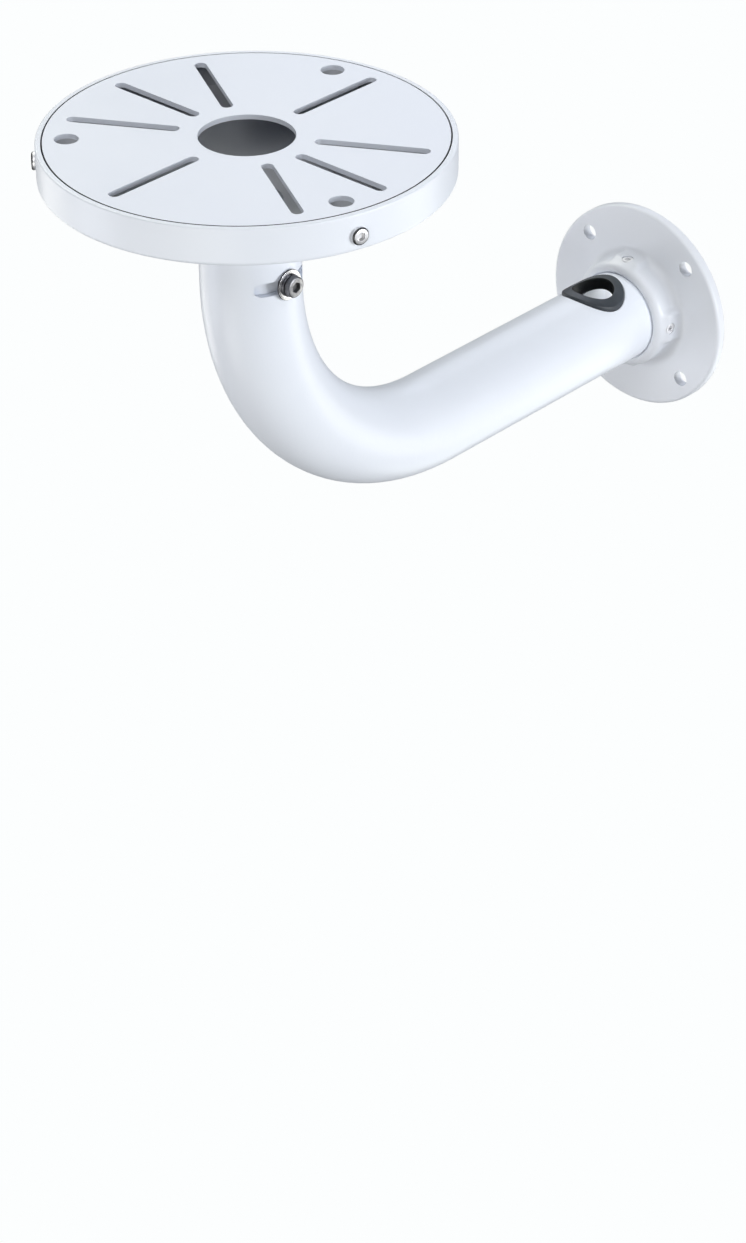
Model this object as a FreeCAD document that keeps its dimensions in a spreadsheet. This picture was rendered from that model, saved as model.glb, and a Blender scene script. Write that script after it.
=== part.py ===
import FreeCAD, Part
import math
import os
import Sketcher

# Wall bracket: a bent tube stands out from a round cast flange and ends in a hanging cup.
# The frame has its origin at the centre of the flange's back face, +Y into the wall and +Z up.
# The arm runs along -Y, bends down by a quarter turn and meets the cup on the vertical neck axis.
# All lengths are in millimetres and all angles in degrees.

DRIVING_SIZES = [
    ("reach", 245, "wall face to the neck axis"),
    ("drop", 165, "arm axis down to the face of the mounting plate"),
    ("tube_radius", 20, "outside of the arm tube"),
    ("tube_wall", 2.5, "wall of the arm tube"),
    ("bend_radius", 104, "centre line of the elbow"),
    ("socket_clearance", 0.05, "tube in the flange socket, on the radius"),
    ("flange_radius", 47, "outside of the wall flange"),
    ("flange_thickness", 4.4, "plate of the wall flange"),
    ("flange_edge_round", 1.4, "rounded front edge of the wall flange"),
    ("seat_thickness", 4, "ledge that the tube's end stands on"),
    ("collar_radius", 24.4, "outside of the collar round the tube"),
    ("collar_height", 17.2, "wall face to the mouth of the collar"),
    ("collar_foot_round", 4.5, "fillet from the collar into the flange"),
    ("collar_mouth_round", 2.2, "rounded outer edge of the collar's mouth"),
    ("socket_chamfer", 0.7, "lead-in at the mouth of the socket"),
    ("pad_face", 25.5, "arm axis to the flat of a collar pad"),
    ("pad_width", 15, "collar pad along the flat"),
    ("pad_height", 14.8, "wall face to the top of a collar pad"),
    ("pad_corner", 1.8, "rounded side of a collar pad"),
    ("pad_top_round", 0.8, "rounded top edge of a collar pad"),
    ("grub_height", 10.9, "wall face to the axis of the set screws"),
    ("grub_radius", 2.5, "thread of the set screws"),
    ("grub_length", 5.4, "length of the set screws"),
    ("grub_key", 2.5, "hexagon socket of the set screws, across flats"),
    ("grub_key_depth", 2, "depth of that socket"),
    ("grub_contact_gap", 0.02, "set screw tip to the tube"),
    ("thread_clearance", 0.03, "screw in its tapped hole, on the radius"),
    ("wall_hole_radius", 3.5, "fixing holes of the wall flange"),
    ("wall_hole_circle", 38.5, "radius of the circle of fixing holes"),
    ("wall_hole_angle", 45, "first fixing hole from the level line"),
    ("grommet_from_wall", 34.5, "wall face to the cable entry"),
    ("grommet_hole_radius", 13.7, "cable entry hole in the tube"),
    ("grommet_hole_bevel", 0.6, "broken edge round the cable entry hole"),
    ("grommet_hole_clearance", 0.1, "rubber in that hole, on the radius"),
    ("grommet_bore_radius", 9.2, "cable opening in the rubber"),
    ("grommet_proud", 1.6, "rubber standing out of the tube"),
    ("grommet_lip_radius", 15.6, "inner lip that keeps the rubber in"),
    ("grommet_lip_thickness", 2, "thickness of that lip"),
    ("grommet_lip_clearance", 0.05, "inner lip to the inside of the tube"),
    ("grommet_lip_top", 5, "arm axis down to the ends of that lip"),
    ("seam_height", 39, "plate face up to the seam under the tube"),
    ("seam_gap", 0.5, "open line between tube and cup"),
    ("spigot_clearance", 0.2, "spigot in the tube, on the radius"),
    ("spigot_wall", 4, "wall of the spigot"),
    ("spigot_length", 21, "spigot above the seam"),
    ("spigot_chamfer", 1, "lead-in at the top of the spigot"),
    ("cup_radius", 80, "outside of the cup"),
    ("cup_wall", 2.2, "wall of the cup"),
    ("shoulder_height", 14.5, "plate face up to the shoulder of the cup"),
    ("crown_height", 28.6, "plate face up to the crown at the neck"),
    ("crown_arc", 155, "radius of the arc from shoulder to neck"),
    ("shoulder_round", 1.6, "rounded shoulder of the cup"),
    ("neck_foot_round", 3, "fillet from the crown into the neck"),
    ("rim_round", 0.7, "rounded lower rim of the cup"),
    ("plate_gap", 0.6, "open line between plate and cup, on the radius"),
    ("plate_thickness", 2, "sheet of the mounting plate"),
    ("centre_hole_radius", 18.7, "cable opening of the mounting plate"),
    ("slot_inner", 26.4, "neck axis to the inner end of a plate slot"),
    ("slot_margin", 6.2, "plate edge to the outer end of a plate slot"),
    ("slot_width", 4.8, "width of a plate slot"),
    ("slot_lean_angle", 30, "leaning slots from the cross pair beside them"),
    ("lug_angle", 75, "first lug from the +X line"),
    ("lug_inset", 9.2, "plate edge to the axis of a lug"),
    ("lug_radius", 6.75, "rounded inner end of a lug"),
    ("lug_bore_radius", 4.75, "round hole through plate and lug"),
    ("lug_height", 12.4, "plate face to the top of a lug"),
    ("lug_relief", 0.3, "lug's outer flat inside the plate's edge"),
    ("rim_screw_height", 8.7, "plate face up to the rim screws"),
    ("rim_screw_radius", 2, "thread of the rim screws"),
    ("rim_screw_length", 8, "rim screws under the head"),
    ("rim_hole_clearance", 0.25, "rim screws in the cup wall, on the radius"),
    ("rim_head_radius", 3.5, "head of the rim screws"),
    ("rim_head_height", 1.6, "height of that head"),
    ("rim_head_bevel", 0.6, "sloped edge of that head"),
    ("rim_key", 3, "hexagon socket of the rim screws, across flats"),
    ("rim_key_depth", 1.2, "depth of that socket"),
    ("clamp_height", 56, "plate face up to the clamp screws"),
    ("clamp_radius", 2.5, "thread of the clamp screws"),
    ("clamp_length", 10, "clamp screws under the head"),
    ("clamp_head_radius", 4.25, "head of the clamp screws"),
    ("clamp_head_height", 2.5, "height of that head"),
    ("clamp_head_bevel", 0.5, "broken edge of that head"),
    ("clamp_key", 4, "hexagon socket of the clamp screws, across flats"),
    ("clamp_key_depth", 1.6, "depth of that socket"),
    ("clamp_slot_radius", 2.9, "half the width of the swivel slots"),
    ("clamp_slot_travel", 10.6, "neck axis to the centre of a slot's round end"),
    ("washer_gap", 0.3, "flat washer to the crest of the tube"),
    ("washer_radius", 6.25, "outside of the flat washers"),
    ("washer_bore_radius", 2.65, "hole of the flat washers"),
    ("washer_thickness", 0.8, "thickness of the flat washers"),
    ("spring_radius", 4.6, "outside of the spring washers"),
    ("spring_bore_radius", 2.6, "hole of the spring washers"),
    ("spring_thickness", 1, "thickness of the spring washers"),
    ("spring_split", 0.7, "split of the spring washers"),
]

GRUB_COUNT = 4
WALL_HOLE_COUNT = 4
LUG_COUNT = 3
CLAMP_COUNT = 2
FULL_TURN = 360

# Shares of another size: the bevel at a screw's tip by its thread's radius, the slant of a
# spring washer's split by its thickness, and how far the bars that shape the rubber saddle
# run to each side of the cable entry by that hole's radius.
TIP_BEVEL_SHARE = 0.2
SPLIT_SLANT_SHARE = 1.5
SADDLE_BAR_SHARE = 1.5


class Size:
    """A length or angle known both as a number and as a formula on the sheet."""

    def __init__(self, number, formula):
        self.number = number
        self.formula = formula

    def __add__(self, other):
        other = as_size(other)
        return Size(self.number + other.number, f"({self.formula} + {other.formula})")

    def __sub__(self, other):
        other = as_size(other)
        return Size(self.number - other.number, f"({self.formula} - {other.formula})")

    def __mul__(self, factor):
        return Size(self.number * factor, f"({self.formula} * {factor:.10g})")

    def __truediv__(self, divisor):
        return self * (1 / divisor)

    def __neg__(self):
        return Size(-self.number, f"(-{self.formula})")


class Start(Size):
    """A first guess for a coordinate that other constraints of the sketch will settle."""

    def __init__(self, number):
        super().__init__(number, None)


def as_size(value):
    return value if isinstance(value, Size) else Size(float(value), str(value))


class SizeTable:
    """The driving sizes as attributes, each tied to its cell."""


def fill_sheet(doc):
    """Write the driving sizes on a sheet and hand them back as Size values."""
    sheet = doc.addObject("Spreadsheet::Sheet", "Sizes")
    table = SizeTable()
    for row, (alias, number, meaning) in enumerate(DRIVING_SIZES, start=1):
        sheet.set(f"A{row}", alias)
        sheet.set(f"B{row}", str(number))
        sheet.set(f"C{row}", meaning)
        sheet.setAlias(f"B{row}", alias)
        setattr(table, alias, Size(float(number), f"Sizes.{alias}"))
    doc.recompute()
    return table


def bind(target, path, size):
    """Tie one property of an object to its formula."""
    target.setExpression(path, as_size(size).formula)


# Sketch helpers

LEVEL_AXIS_INDEX = -1
UPRIGHT_AXIS_INDEX = -2
START_INDEX = 1
END_INDEX = 2
CENTRE_INDEX = 3
ROOT_POINT = (LEVEL_AXIS_INDEX, START_INDEX)
HALF_TURN_SLACK = 1e-6


def new_body(doc, label):
    body = doc.addObject("PartDesign::Body", label)
    body.Label = label
    return body


def new_sketch(body, name, plane_role="XY_Plane", lift=None, turn=None, turn_axis=(0, 0, 1)):
    """An empty sketch on one of the body's own planes, lifted along and turned about that plane."""
    sketch = body.newObject("Sketcher::SketchObject", name)
    plane = next(f for f in body.Origin.OriginFeatures if f.Role == plane_role)
    sketch.AttachmentSupport = [(plane, "")]
    sketch.MapMode = "FlatFace"
    height = lift.number if lift is not None else 0
    angle = turn.number if turn is not None else 0
    rotation = FreeCAD.Rotation(FreeCAD.Vector(*turn_axis), angle)
    sketch.AttachmentOffset = FreeCAD.Placement(FreeCAD.Vector(0, 0, height), rotation)
    if lift is not None:
        bind(sketch, "AttachmentOffset.Base.z", lift)
    if turn is not None:
        bind(sketch, "AttachmentOffset.Rotation.Angle", turn)
    return sketch


def pin(sketch, edge, point, x, y):
    """Fix one point of an edge at (x, y), each of them a Size, a first guess or a plain 0."""
    for kind, axis, value in (("DistanceX", UPRIGHT_AXIS_INDEX, x), ("DistanceY", LEVEL_AXIS_INDEX, y)):
        if isinstance(value, Start):
            continue
        if not isinstance(value, Size):
            sketch.addConstraint(Sketcher.Constraint("PointOnObject", edge, point, axis))
            continue
        rule = Sketcher.Constraint(kind, *ROOT_POINT, edge, point, value.number)
        bind(sketch, f"Constraints[{sketch.addConstraint(rule)}]", value)


def hold_radius(sketch, edge, radius):
    rule = Sketcher.Constraint("Radius", edge, radius.number)
    bind(sketch, f"Constraints[{sketch.addConstraint(rule)}]", radius)


def hold_centre_across(sketch, edge, x):
    """Fix how far along x the centre of a half turn lies."""
    rule = Sketcher.Constraint("DistanceX", *ROOT_POINT, edge, CENTRE_INDEX, x.number)
    bind(sketch, f"Constraints[{sketch.addConstraint(rule)}]", x)


def add_circle(sketch, x, y, radius):
    centre = FreeCAD.Vector(as_size(x).number, as_size(y).number, 0)
    edge = sketch.addGeometry(Part.Circle(centre, FreeCAD.Vector(0, 0, 1), radius.number))
    pin(sketch, edge, CENTRE_INDEX, x, y)
    hold_radius(sketch, edge, radius)
    return edge


def make_arc(first, last, centre):
    """The shorter arc between two points, and whether it runs from first to last.

    A half turn runs anticlockwise from first to last.
    """
    spoke_a = first - centre
    spoke_b = last - centre
    forward = spoke_a.x * spoke_b.y - spoke_a.y * spoke_b.x > -HALF_TURN_SLACK
    if not forward:
        spoke_a, spoke_b = spoke_b, spoke_a
    start = math.atan2(spoke_a.y, spoke_a.x)
    end = math.atan2(spoke_b.y, spoke_b.x)
    if end < start:
        end += 2 * math.pi
    circle = Part.Circle(centre, FreeCAD.Vector(0, 0, 1), spoke_a.Length)
    return Part.ArcOfCircle(circle, start, end), forward


def add_outline(sketch, points, arcs=None, closed=True):
    """Join points by lines, or by arcs where arcs maps an edge's number to its centre.

    Returns the number of each edge. Every point is pinned where it starts an edge.
    """
    arcs = arcs or {}
    corners = [FreeCAD.Vector(as_size(x).number, as_size(y).number, 0) for x, y in points]
    count = len(points) if closed else len(points) - 1
    edges = []
    ends = []
    for i in range(count):
        first = corners[i]
        last = corners[(i + 1) % len(points)]
        if i in arcs:
            centre = FreeCAD.Vector(*[as_size(c).number for c in arcs[i]], 0)
            shape, forward = make_arc(first, last, centre)
            ends.append((START_INDEX, END_INDEX) if forward else (END_INDEX, START_INDEX))
        else:
            shape = Part.LineSegment(first, last)
            ends.append((START_INDEX, END_INDEX))
        edges.append(sketch.addGeometry(shape))
    for i in range(count if closed else count - 1):
        after = (i + 1) % count
        joint = Sketcher.Constraint("Coincident", edges[i], ends[i][1], edges[after], ends[after][0])
        sketch.addConstraint(joint)
    for i in range(count):
        pin(sketch, edges[i], ends[i][0], *points[i])
    if not closed:
        pin(sketch, edges[-1], ends[-1][1], *points[-1])
    return edges


def add_round_ended_slot(sketch, inner, outer, half_width):
    """A straight slot along x with a half circle at each end."""
    near = inner + half_width
    far = outer - half_width
    points = [(near, -half_width), (far, -half_width), (far, half_width), (near, half_width)]
    edges = add_outline(sketch, points, arcs={1: (far, 0), 3: (near, 0)})
    hold_centre_across(sketch, edges[1], far)
    hold_centre_across(sketch, edges[3], near)


# Feature helpers


def finish(body, feature):
    """Make a feature the body's current state."""
    body.Tip = feature
    body.Document.recompute()
    return feature


def revolve(body, sketch, name, axis):
    feature = body.newObject("PartDesign::Revolution", name)
    feature.Profile = sketch
    feature.ReferenceAxis = (sketch, [axis])
    feature.Angle = FULL_TURN
    return finish(body, feature)


def pad(body, sketch, name, length):
    feature = body.newObject("PartDesign::Pad", name)
    feature.Profile = sketch
    feature.Length = length.number
    bind(feature, "Length", length)
    return finish(body, feature)


def pocket(body, sketch, name, depth=None, outward=False, both_ways=False):
    """Cut a sketch out of the body, and stop if nothing was cut."""
    before = body.Shape.Volume
    feature = body.newObject("PartDesign::Pocket", name)
    feature.Profile = sketch
    feature.Reversed = outward
    if both_ways:
        feature.SideType = "Symmetric"
    if depth is None:
        feature.Type = "ThroughAll"
    else:
        feature.Length = depth.number
        bind(feature, "Length", depth)
    finish(body, feature)
    if not body.Shape.Volume < before:
        raise RuntimeError(f"{body.Label}: {name} cuts nothing")
    return feature


def polar(body, features, name, count, span=FULL_TURN):
    """Repeat features round the body's own Z axis."""
    pattern = body.newObject("PartDesign::PolarPattern", name)
    pattern.Originals = features
    z_axis = next(f for f in body.Origin.OriginFeatures if f.Role == "Z_Axis")
    pattern.Axis = (z_axis, [""])
    pattern.Angle = span
    pattern.Occurrences = count
    return finish(body, pattern)


def ring_edges(shape, radius, height):
    """Names of the full or part circles of this radius that lie level at this height."""
    names = []
    for number, edge in enumerate(shape.Edges, start=1):
        curve = edge.Curve
        if not isinstance(curve, Part.Circle) or abs(abs(curve.Axis.z) - 1) > 1e-6:
            continue
        if abs(curve.Radius - radius.number) < 1e-4 and abs(curve.Center.z - as_size(height).number) < 1e-4:
            names.append(f"Edge{number}")
    return names


def dress(body, kind, name, edges, size):
    """A fillet or chamfer along named edges of the body's current state."""
    if not edges:
        raise RuntimeError(f"{body.Label}: {name} finds no edge")
    base = body.Tip
    feature = body.newObject(f"PartDesign::{kind}", name)
    feature.Base = (base, edges)
    path = "Radius" if kind == "Fillet" else "Size"
    setattr(feature, path, size.number)
    bind(feature, path, size)
    return finish(body, feature)


def place(body, x=0, y=0, z=0, turn=0, axis=(0, 0, 1)):
    """Stand a body in the bracket's frame, with each size that places it bound."""
    base = FreeCAD.Vector(*[as_size(v).number for v in (x, y, z)])
    rotation = FreeCAD.Rotation(FreeCAD.Vector(*axis), as_size(turn).number)
    body.Placement = FreeCAD.Placement(base, rotation)
    for path, value in (("Base.x", x), ("Base.y", y), ("Base.z", z), ("Rotation.Angle", turn)):
        if isinstance(value, Size):
            bind(body, f"Placement.{path}", value)


# The fixed side: wall flange, arm tube, set screws and cable grommet


def make_wall_flange(doc, s):
    """Cast flange with a socket collar, drawn with its axis up and then turned off the wall."""
    body = new_body(doc, "wall_flange")
    cable_radius = s.tube_radius - s.tube_wall
    socket_radius = s.tube_radius + s.socket_clearance
    profile = new_sketch(body, "FlangeProfile", "XZ_Plane")
    add_outline(profile, [
        (cable_radius, 0),
        (s.flange_radius, 0),
        (s.flange_radius, s.flange_thickness),
        (s.collar_radius, s.flange_thickness),
        (s.collar_radius, s.collar_height),
        (socket_radius, s.collar_height),
        (socket_radius, s.seat_thickness),
        (cable_radius, s.seat_thickness),
    ])
    revolve(body, profile, "FlangeTurn", "V_Axis")
    front_edge = ring_edges(body.Shape, s.flange_radius, s.flange_thickness)
    dress(body, "Fillet", "FlangeEdgeRound", front_edge, s.flange_edge_round)
    foot = ring_edges(body.Shape, s.collar_radius, s.flange_thickness)
    dress(body, "Fillet", "CollarFootRound", foot, s.collar_foot_round)
    mouth = ring_edges(body.Shape, s.collar_radius, s.collar_height)
    dress(body, "Fillet", "CollarMouthRound", mouth, s.collar_mouth_round)
    lead_in = ring_edges(body.Shape, socket_radius, s.collar_height)
    dress(body, "Chamfer", "SocketChamfer", lead_in, s.socket_chamfer)

    pad_sketch = new_sketch(body, "PadOutline", "XY_Plane", lift=s.seat_thickness)
    half = s.pad_width / 2
    root = socket_radius + s.tube_wall
    side = half - s.pad_corner
    shoulder = s.pad_face - s.pad_corner
    pad_edges = add_outline(pad_sketch, [
        (root, -half),
        (shoulder, -half),
        (s.pad_face, -side),
        (s.pad_face, side),
        (shoulder, half),
        (root, half),
    ], arcs={1: (shoulder, -side), 3: (shoulder, side)})
    for edge in (pad_edges[1], pad_edges[3]):
        hold_radius(pad_sketch, edge, s.pad_corner)
    first_pad = pad(body, pad_sketch, "CollarPad", s.pad_height - s.seat_thickness)
    polar(body, [first_pad], "CollarPads", GRUB_COUNT)
    dress(body, "Fillet", "PadTopRound", pad_top_edges(body.Shape, s), s.pad_top_round)

    grub_sketch = new_sketch(body, "GrubHoleCentre", "YZ_Plane")
    add_circle(grub_sketch, 0, s.grub_height, s.grub_radius + s.thread_clearance)
    grub_hole = pocket(body, grub_sketch, "GrubHole", outward=True)
    polar(body, [grub_hole], "GrubHoles", GRUB_COUNT)

    wall_sketch = new_sketch(body, "WallHoleCentre", "XY_Plane", turn=s.wall_hole_angle)
    add_circle(wall_sketch, s.wall_hole_circle, 0, s.wall_hole_radius)
    wall_hole = pocket(body, wall_sketch, "WallHole", outward=True)
    polar(body, [wall_hole], "WallHoles", WALL_HOLE_COUNT)
    place(body, turn=90, axis=(1, 0, 0))
    return body


def pad_top_edges(shape, s):
    """Names of the edges round the tops of the collar pads, without those on the collar itself."""
    names = []
    for number, edge in enumerate(shape.Edges, start=1):
        points = edge.discretize(3)
        level = all(abs(p.z - s.pad_height.number) < 1e-4 for p in points)
        if level and math.hypot(points[1].x, points[1].y) > s.collar_radius.number + 1e-3:
            names.append(f"Edge{number}")
    return names


def make_arm_tube(doc, s):
    """Bent tube, drawn in the bracket's own frame."""
    body = new_body(doc, "arm_tube")
    straight_end = -(s.reach - s.bend_radius)
    seam = -(s.drop - s.seam_height - s.seam_gap)
    section = new_sketch(body, "TubeSection", "XZ_Plane", lift=s.seat_thickness)
    add_circle(section, 0, 0, s.tube_radius)
    add_circle(section, 0, 0, s.tube_radius - s.tube_wall)
    path = new_sketch(body, "TubePath", "YZ_Plane")
    edges = add_outline(path, [
        (-s.seat_thickness, 0),
        (straight_end, 0),
        (-s.reach, -s.bend_radius),
        (-s.reach, seam),
    ], arcs={1: (straight_end, -s.bend_radius)}, closed=False)
    hold_radius(path, edges[1], s.bend_radius)
    pipe = body.newObject("PartDesign::AdditivePipe", "BentTube")
    pipe.Profile = section
    pipe.Spine = path
    finish(body, pipe)

    entry = new_sketch(body, "CableEntryOutline", "XY_Plane")
    add_circle(entry, 0, -s.grommet_from_wall, s.grommet_hole_radius)
    pocket(body, entry, "CableEntry")
    dress(body, "Chamfer", "CableEntryBevel", entry_edges(body.Shape, s), s.grommet_hole_bevel)

    swivel = new_sketch(body, "SwivelSlotOutline", "YZ_Plane")
    level = -(s.drop - s.clamp_height)
    near = -s.reach + s.clamp_slot_travel
    far = -s.reach - s.clamp_slot_travel
    top = level + s.clamp_slot_radius
    bottom = level - s.clamp_slot_radius
    slot = add_outline(swivel, [(far, top), (far, bottom), (near, bottom), (near, top)],
                       arcs={0: (far, level), 2: (near, level)})
    hold_centre_across(swivel, slot[0], far)
    hold_centre_across(swivel, slot[2], near)
    pocket(body, swivel, "SwivelSlots", both_ways=True)
    return body


def entry_edges(shape, s):
    """Names of the outer edges of the cable entry hole, which lie on the outside of the tube."""
    names = []
    for number, edge in enumerate(shape.Edges, start=1):
        middle = edge.valueAt((edge.FirstParameter + edge.LastParameter) / 2)
        from_hole = math.hypot(middle.x, middle.y + s.grommet_from_wall.number)
        from_arm = math.hypot(middle.x, middle.z)
        on_hole = abs(from_hole - s.grommet_hole_radius.number) < 1e-3
        if on_hole and abs(from_arm - s.tube_radius.number) < 1e-3:
            names.append(f"Edge{number}")
    return names


def add_hexagon(sketch, across_flats):
    """A hexagon about the sketch's origin with two corners on its x axis."""
    corner = across_flats / math.sqrt(3)
    half = across_flats / 2
    add_outline(sketch, [(corner, 0), (corner / 2, half), (-(corner / 2), half),
                         (-corner, 0), (-(corner / 2), -half), (corner / 2, -half)])


def make_grub_screw(doc, s, label):
    """Set screw along the local X axis, with its tip on the tube."""
    body = new_body(doc, label)
    tip = s.tube_radius + s.grub_contact_gap
    top = tip + s.grub_length
    bevel = s.grub_radius * TIP_BEVEL_SHARE
    profile = new_sketch(body, "GrubProfile", "XZ_Plane")
    add_outline(profile, [
        (tip, 0),
        (tip, s.grub_radius - bevel),
        (tip + bevel, s.grub_radius),
        (top - bevel, s.grub_radius),
        (top, s.grub_radius - bevel),
        (top, 0),
    ])
    revolve(body, profile, "GrubTurn", "H_Axis")
    key = new_sketch(body, "GrubKeyOutline", "YZ_Plane", lift=top)
    add_hexagon(key, s.grub_key)
    pocket(body, key, "GrubKey", depth=s.grub_key_depth)
    return body


def add_cylinder(doc, name, radius, length, middle, axis, start):
    """A plain cylinder about a line through middle, with its length measured from start."""
    shape = doc.addObject("Part::Cylinder", name)
    bind(shape, "Radius", radius)
    bind(shape, "Height", length)
    rotation = FreeCAD.Rotation(FreeCAD.Vector(0, 0, 1), FreeCAD.Vector(*axis))
    shape.Placement = FreeCAD.Placement(FreeCAD.Vector(*middle), rotation)
    bind(shape, f"Placement.Base.{start[0]}", start[1])
    return shape


def combine(doc, kind, name, base, tool):
    result = doc.addObject(f"Part::{kind}", name)
    result.Base = base
    result.Tool = tool
    return result


def make_cable_grommet(doc, s):
    """Rubber saddle in the underside of the arm, drawn with the cable entry's axis on local Z."""
    outside = s.tube_radius + s.grommet_proud
    inside = s.tube_radius - s.tube_wall - s.grommet_lip_clearance
    waist_radius = s.grommet_hole_radius - s.grommet_hole_clearance
    below = ("z", -outside - s.grommet_proud)
    half_bar = s.grommet_hole_radius * SADDLE_BAR_SHARE
    behind = ("y", half_bar)
    down = outside + s.grommet_proud - s.grommet_lip_top
    along = half_bar * 2

    def upright(name, radius):
        return add_cylinder(doc, name, radius, down, (0, 0, 0), (0, 0, 1), below)

    def level(name, radius):
        return add_cylinder(doc, name, radius, along, (0, 0, 0), (0, -1, 0), behind)

    waist = combine(doc, "Common", "GrommetWaist",
                    upright("WaistBar", waist_radius), level("SaddleOutside", outside))
    lip = combine(doc, "Common", "GrommetLip",
                  upright("LipBar", s.grommet_lip_radius), level("LipOutside", inside))
    ring = combine(doc, "Fuse", "GrommetRing", waist, lip)
    hollow = combine(doc, "Cut", "GrommetSaddle",
                     ring, level("SaddleInside", inside - s.grommet_lip_thickness))
    grommet = combine(doc, "Cut", "cable_grommet",
                      hollow, upright("CableOpening", s.grommet_bore_radius))
    grommet.Label = "cable_grommet"
    place(grommet, y=-s.grommet_from_wall)
    doc.recompute()
    return grommet


# The swivelling side: cup housing, mounting plate and their screws


def make_cup_housing(doc, s):
    """Cast cup with its neck and spigot, turned about the neck axis from the level of its rim."""
    body = new_body(doc, "cup_housing")
    inner_radius = s.cup_radius - s.cup_wall
    spigot_radius = s.tube_radius - s.tube_wall - s.spigot_clearance
    bore_radius = spigot_radius - s.spigot_wall
    spigot_top = s.seam_height + s.spigot_length

    shoulder = FreeCAD.Vector(s.cup_radius.number, s.shoulder_height.number, 0)
    crown = FreeCAD.Vector(s.tube_radius.number, s.crown_height.number, 0)
    chord = crown - shoulder
    sag = math.sqrt(s.crown_arc.number ** 2 - (chord.Length / 2) ** 2)
    inward = FreeCAD.Vector(-chord.y, chord.x, 0).normalize()
    centre = (shoulder + crown) * 0.5 + inward * sag
    inner_arc = s.crown_arc - s.cup_wall

    def under_crown(radius):
        rise = math.sqrt(inner_arc.number ** 2 - (radius.number - centre.x) ** 2)
        return Start(centre.y + rise)

    profile = new_sketch(body, "CupProfile", "XZ_Plane")
    edges = add_outline(profile, [
        (s.cup_radius, 0),
        (s.cup_radius, s.shoulder_height),
        (s.tube_radius, s.crown_height),
        (s.tube_radius, s.seam_height),
        (spigot_radius, s.seam_height),
        (spigot_radius, spigot_top),
        (bore_radius, spigot_top),
        (bore_radius, under_crown(bore_radius)),
        (inner_radius, under_crown(inner_radius)),
        (inner_radius, 0),
    ], arcs={1: (centre.x, centre.y), 7: (centre.x, centre.y)})
    outer_arc_edge = edges[1]
    inner_arc_edge = edges[7]
    hold_radius(profile, outer_arc_edge, s.crown_arc)
    hold_radius(profile, inner_arc_edge, inner_arc)
    shared_centre = (outer_arc_edge, CENTRE_INDEX, inner_arc_edge, CENTRE_INDEX)
    profile.addConstraint(Sketcher.Constraint("Coincident", *shared_centre))
    revolve(body, profile, "CupTurn", "V_Axis")

    rounds = (("NeckFootRound", s.tube_radius, s.crown_height, s.neck_foot_round),
              ("ShoulderRound", s.cup_radius, s.shoulder_height, s.shoulder_round),
              ("RimRound", s.cup_radius, 0, s.rim_round))
    for name, radius, height, size in rounds:
        dress(body, "Fillet", name, ring_edges(body.Shape, radius, height), size)
    top_edge = ring_edges(body.Shape, spigot_radius, spigot_top)
    dress(body, "Chamfer", "SpigotChamfer", top_edge, s.spigot_chamfer)

    rim_sketch = new_sketch(body, "RimHoleCentre", "YZ_Plane", turn=s.lug_angle, turn_axis=(0, 1, 0))
    add_circle(rim_sketch, 0, s.rim_screw_height, s.rim_screw_radius + s.rim_hole_clearance)
    rim_hole = pocket(body, rim_sketch, "RimHole", outward=True)
    polar(body, [rim_hole], "RimHoles", LUG_COUNT)

    clamp_sketch = new_sketch(body, "ClampHoleCentre", "YZ_Plane")
    add_circle(clamp_sketch, 0, s.clamp_height, s.clamp_radius + s.thread_clearance)
    pocket(body, clamp_sketch, "ClampHoles", both_ways=True)
    place(body, y=-s.reach, z=-s.drop)
    return body


def make_mounting_plate(doc, s):
    """Round plate with eight radial slots and three cross-tapped lugs, the first on local +X."""
    body = new_body(doc, "mounting_plate")
    edge_radius = s.cup_radius - s.cup_wall - s.plate_gap
    lug_circle = edge_radius - s.lug_inset
    slot_outer = edge_radius - s.slot_margin
    disc = new_sketch(body, "DiscOutline")
    add_circle(disc, 0, 0, edge_radius)
    add_circle(disc, 0, 0, s.centre_hole_radius)
    pad(body, disc, "Disc", s.plate_thickness)

    lug_sketch = new_sketch(body, "LugOutline")
    lug_end = edge_radius - s.lug_relief
    edges = add_outline(lug_sketch, [
        (lug_circle, -s.lug_radius),
        (lug_end, -s.lug_radius),
        (lug_end, s.lug_radius),
        (lug_circle, s.lug_radius),
        (lug_circle - s.lug_radius, 0),
    ], arcs={3: (lug_circle, 0), 4: (lug_circle, 0)})
    for edge in edges[3:]:
        hold_radius(lug_sketch, edge, s.lug_radius)
    lug = pad(body, lug_sketch, "Lug", s.lug_height)
    polar(body, [lug], "Lugs", LUG_COUNT)

    bore_sketch = new_sketch(body, "LugBoreCentre")
    add_circle(bore_sketch, lug_circle, 0, s.lug_bore_radius)
    bore = pocket(body, bore_sketch, "LugBore", outward=True)
    polar(body, [bore], "LugBores", LUG_COUNT)

    thread_sketch = new_sketch(body, "LugThreadCentre", "YZ_Plane", lift=lug_circle)
    add_circle(thread_sketch, 0, s.rim_screw_height, s.rim_screw_radius + s.thread_clearance)
    thread = pocket(body, thread_sketch, "LugThread", outward=True)
    polar(body, [thread], "LugThreads", LUG_COUNT)

    slot_sets = (("Cross", -s.lug_angle, 4),
                 ("LeanLeft", s.slot_lean_angle - s.lug_angle, 2),
                 ("LeanRight", -s.slot_lean_angle - s.lug_angle, 2))
    for name, turn, count in slot_sets:
        slot_sketch = new_sketch(body, f"{name}SlotOutline", turn=turn)
        add_round_ended_slot(slot_sketch, s.slot_inner, slot_outer, s.slot_width / 2)
        slot = pocket(body, slot_sketch, f"{name}Slot", outward=True)
        polar(body, [slot], f"{name}Slots", count)
    place(body, y=-s.reach, z=-s.drop, turn=s.lug_angle)
    return body


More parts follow.
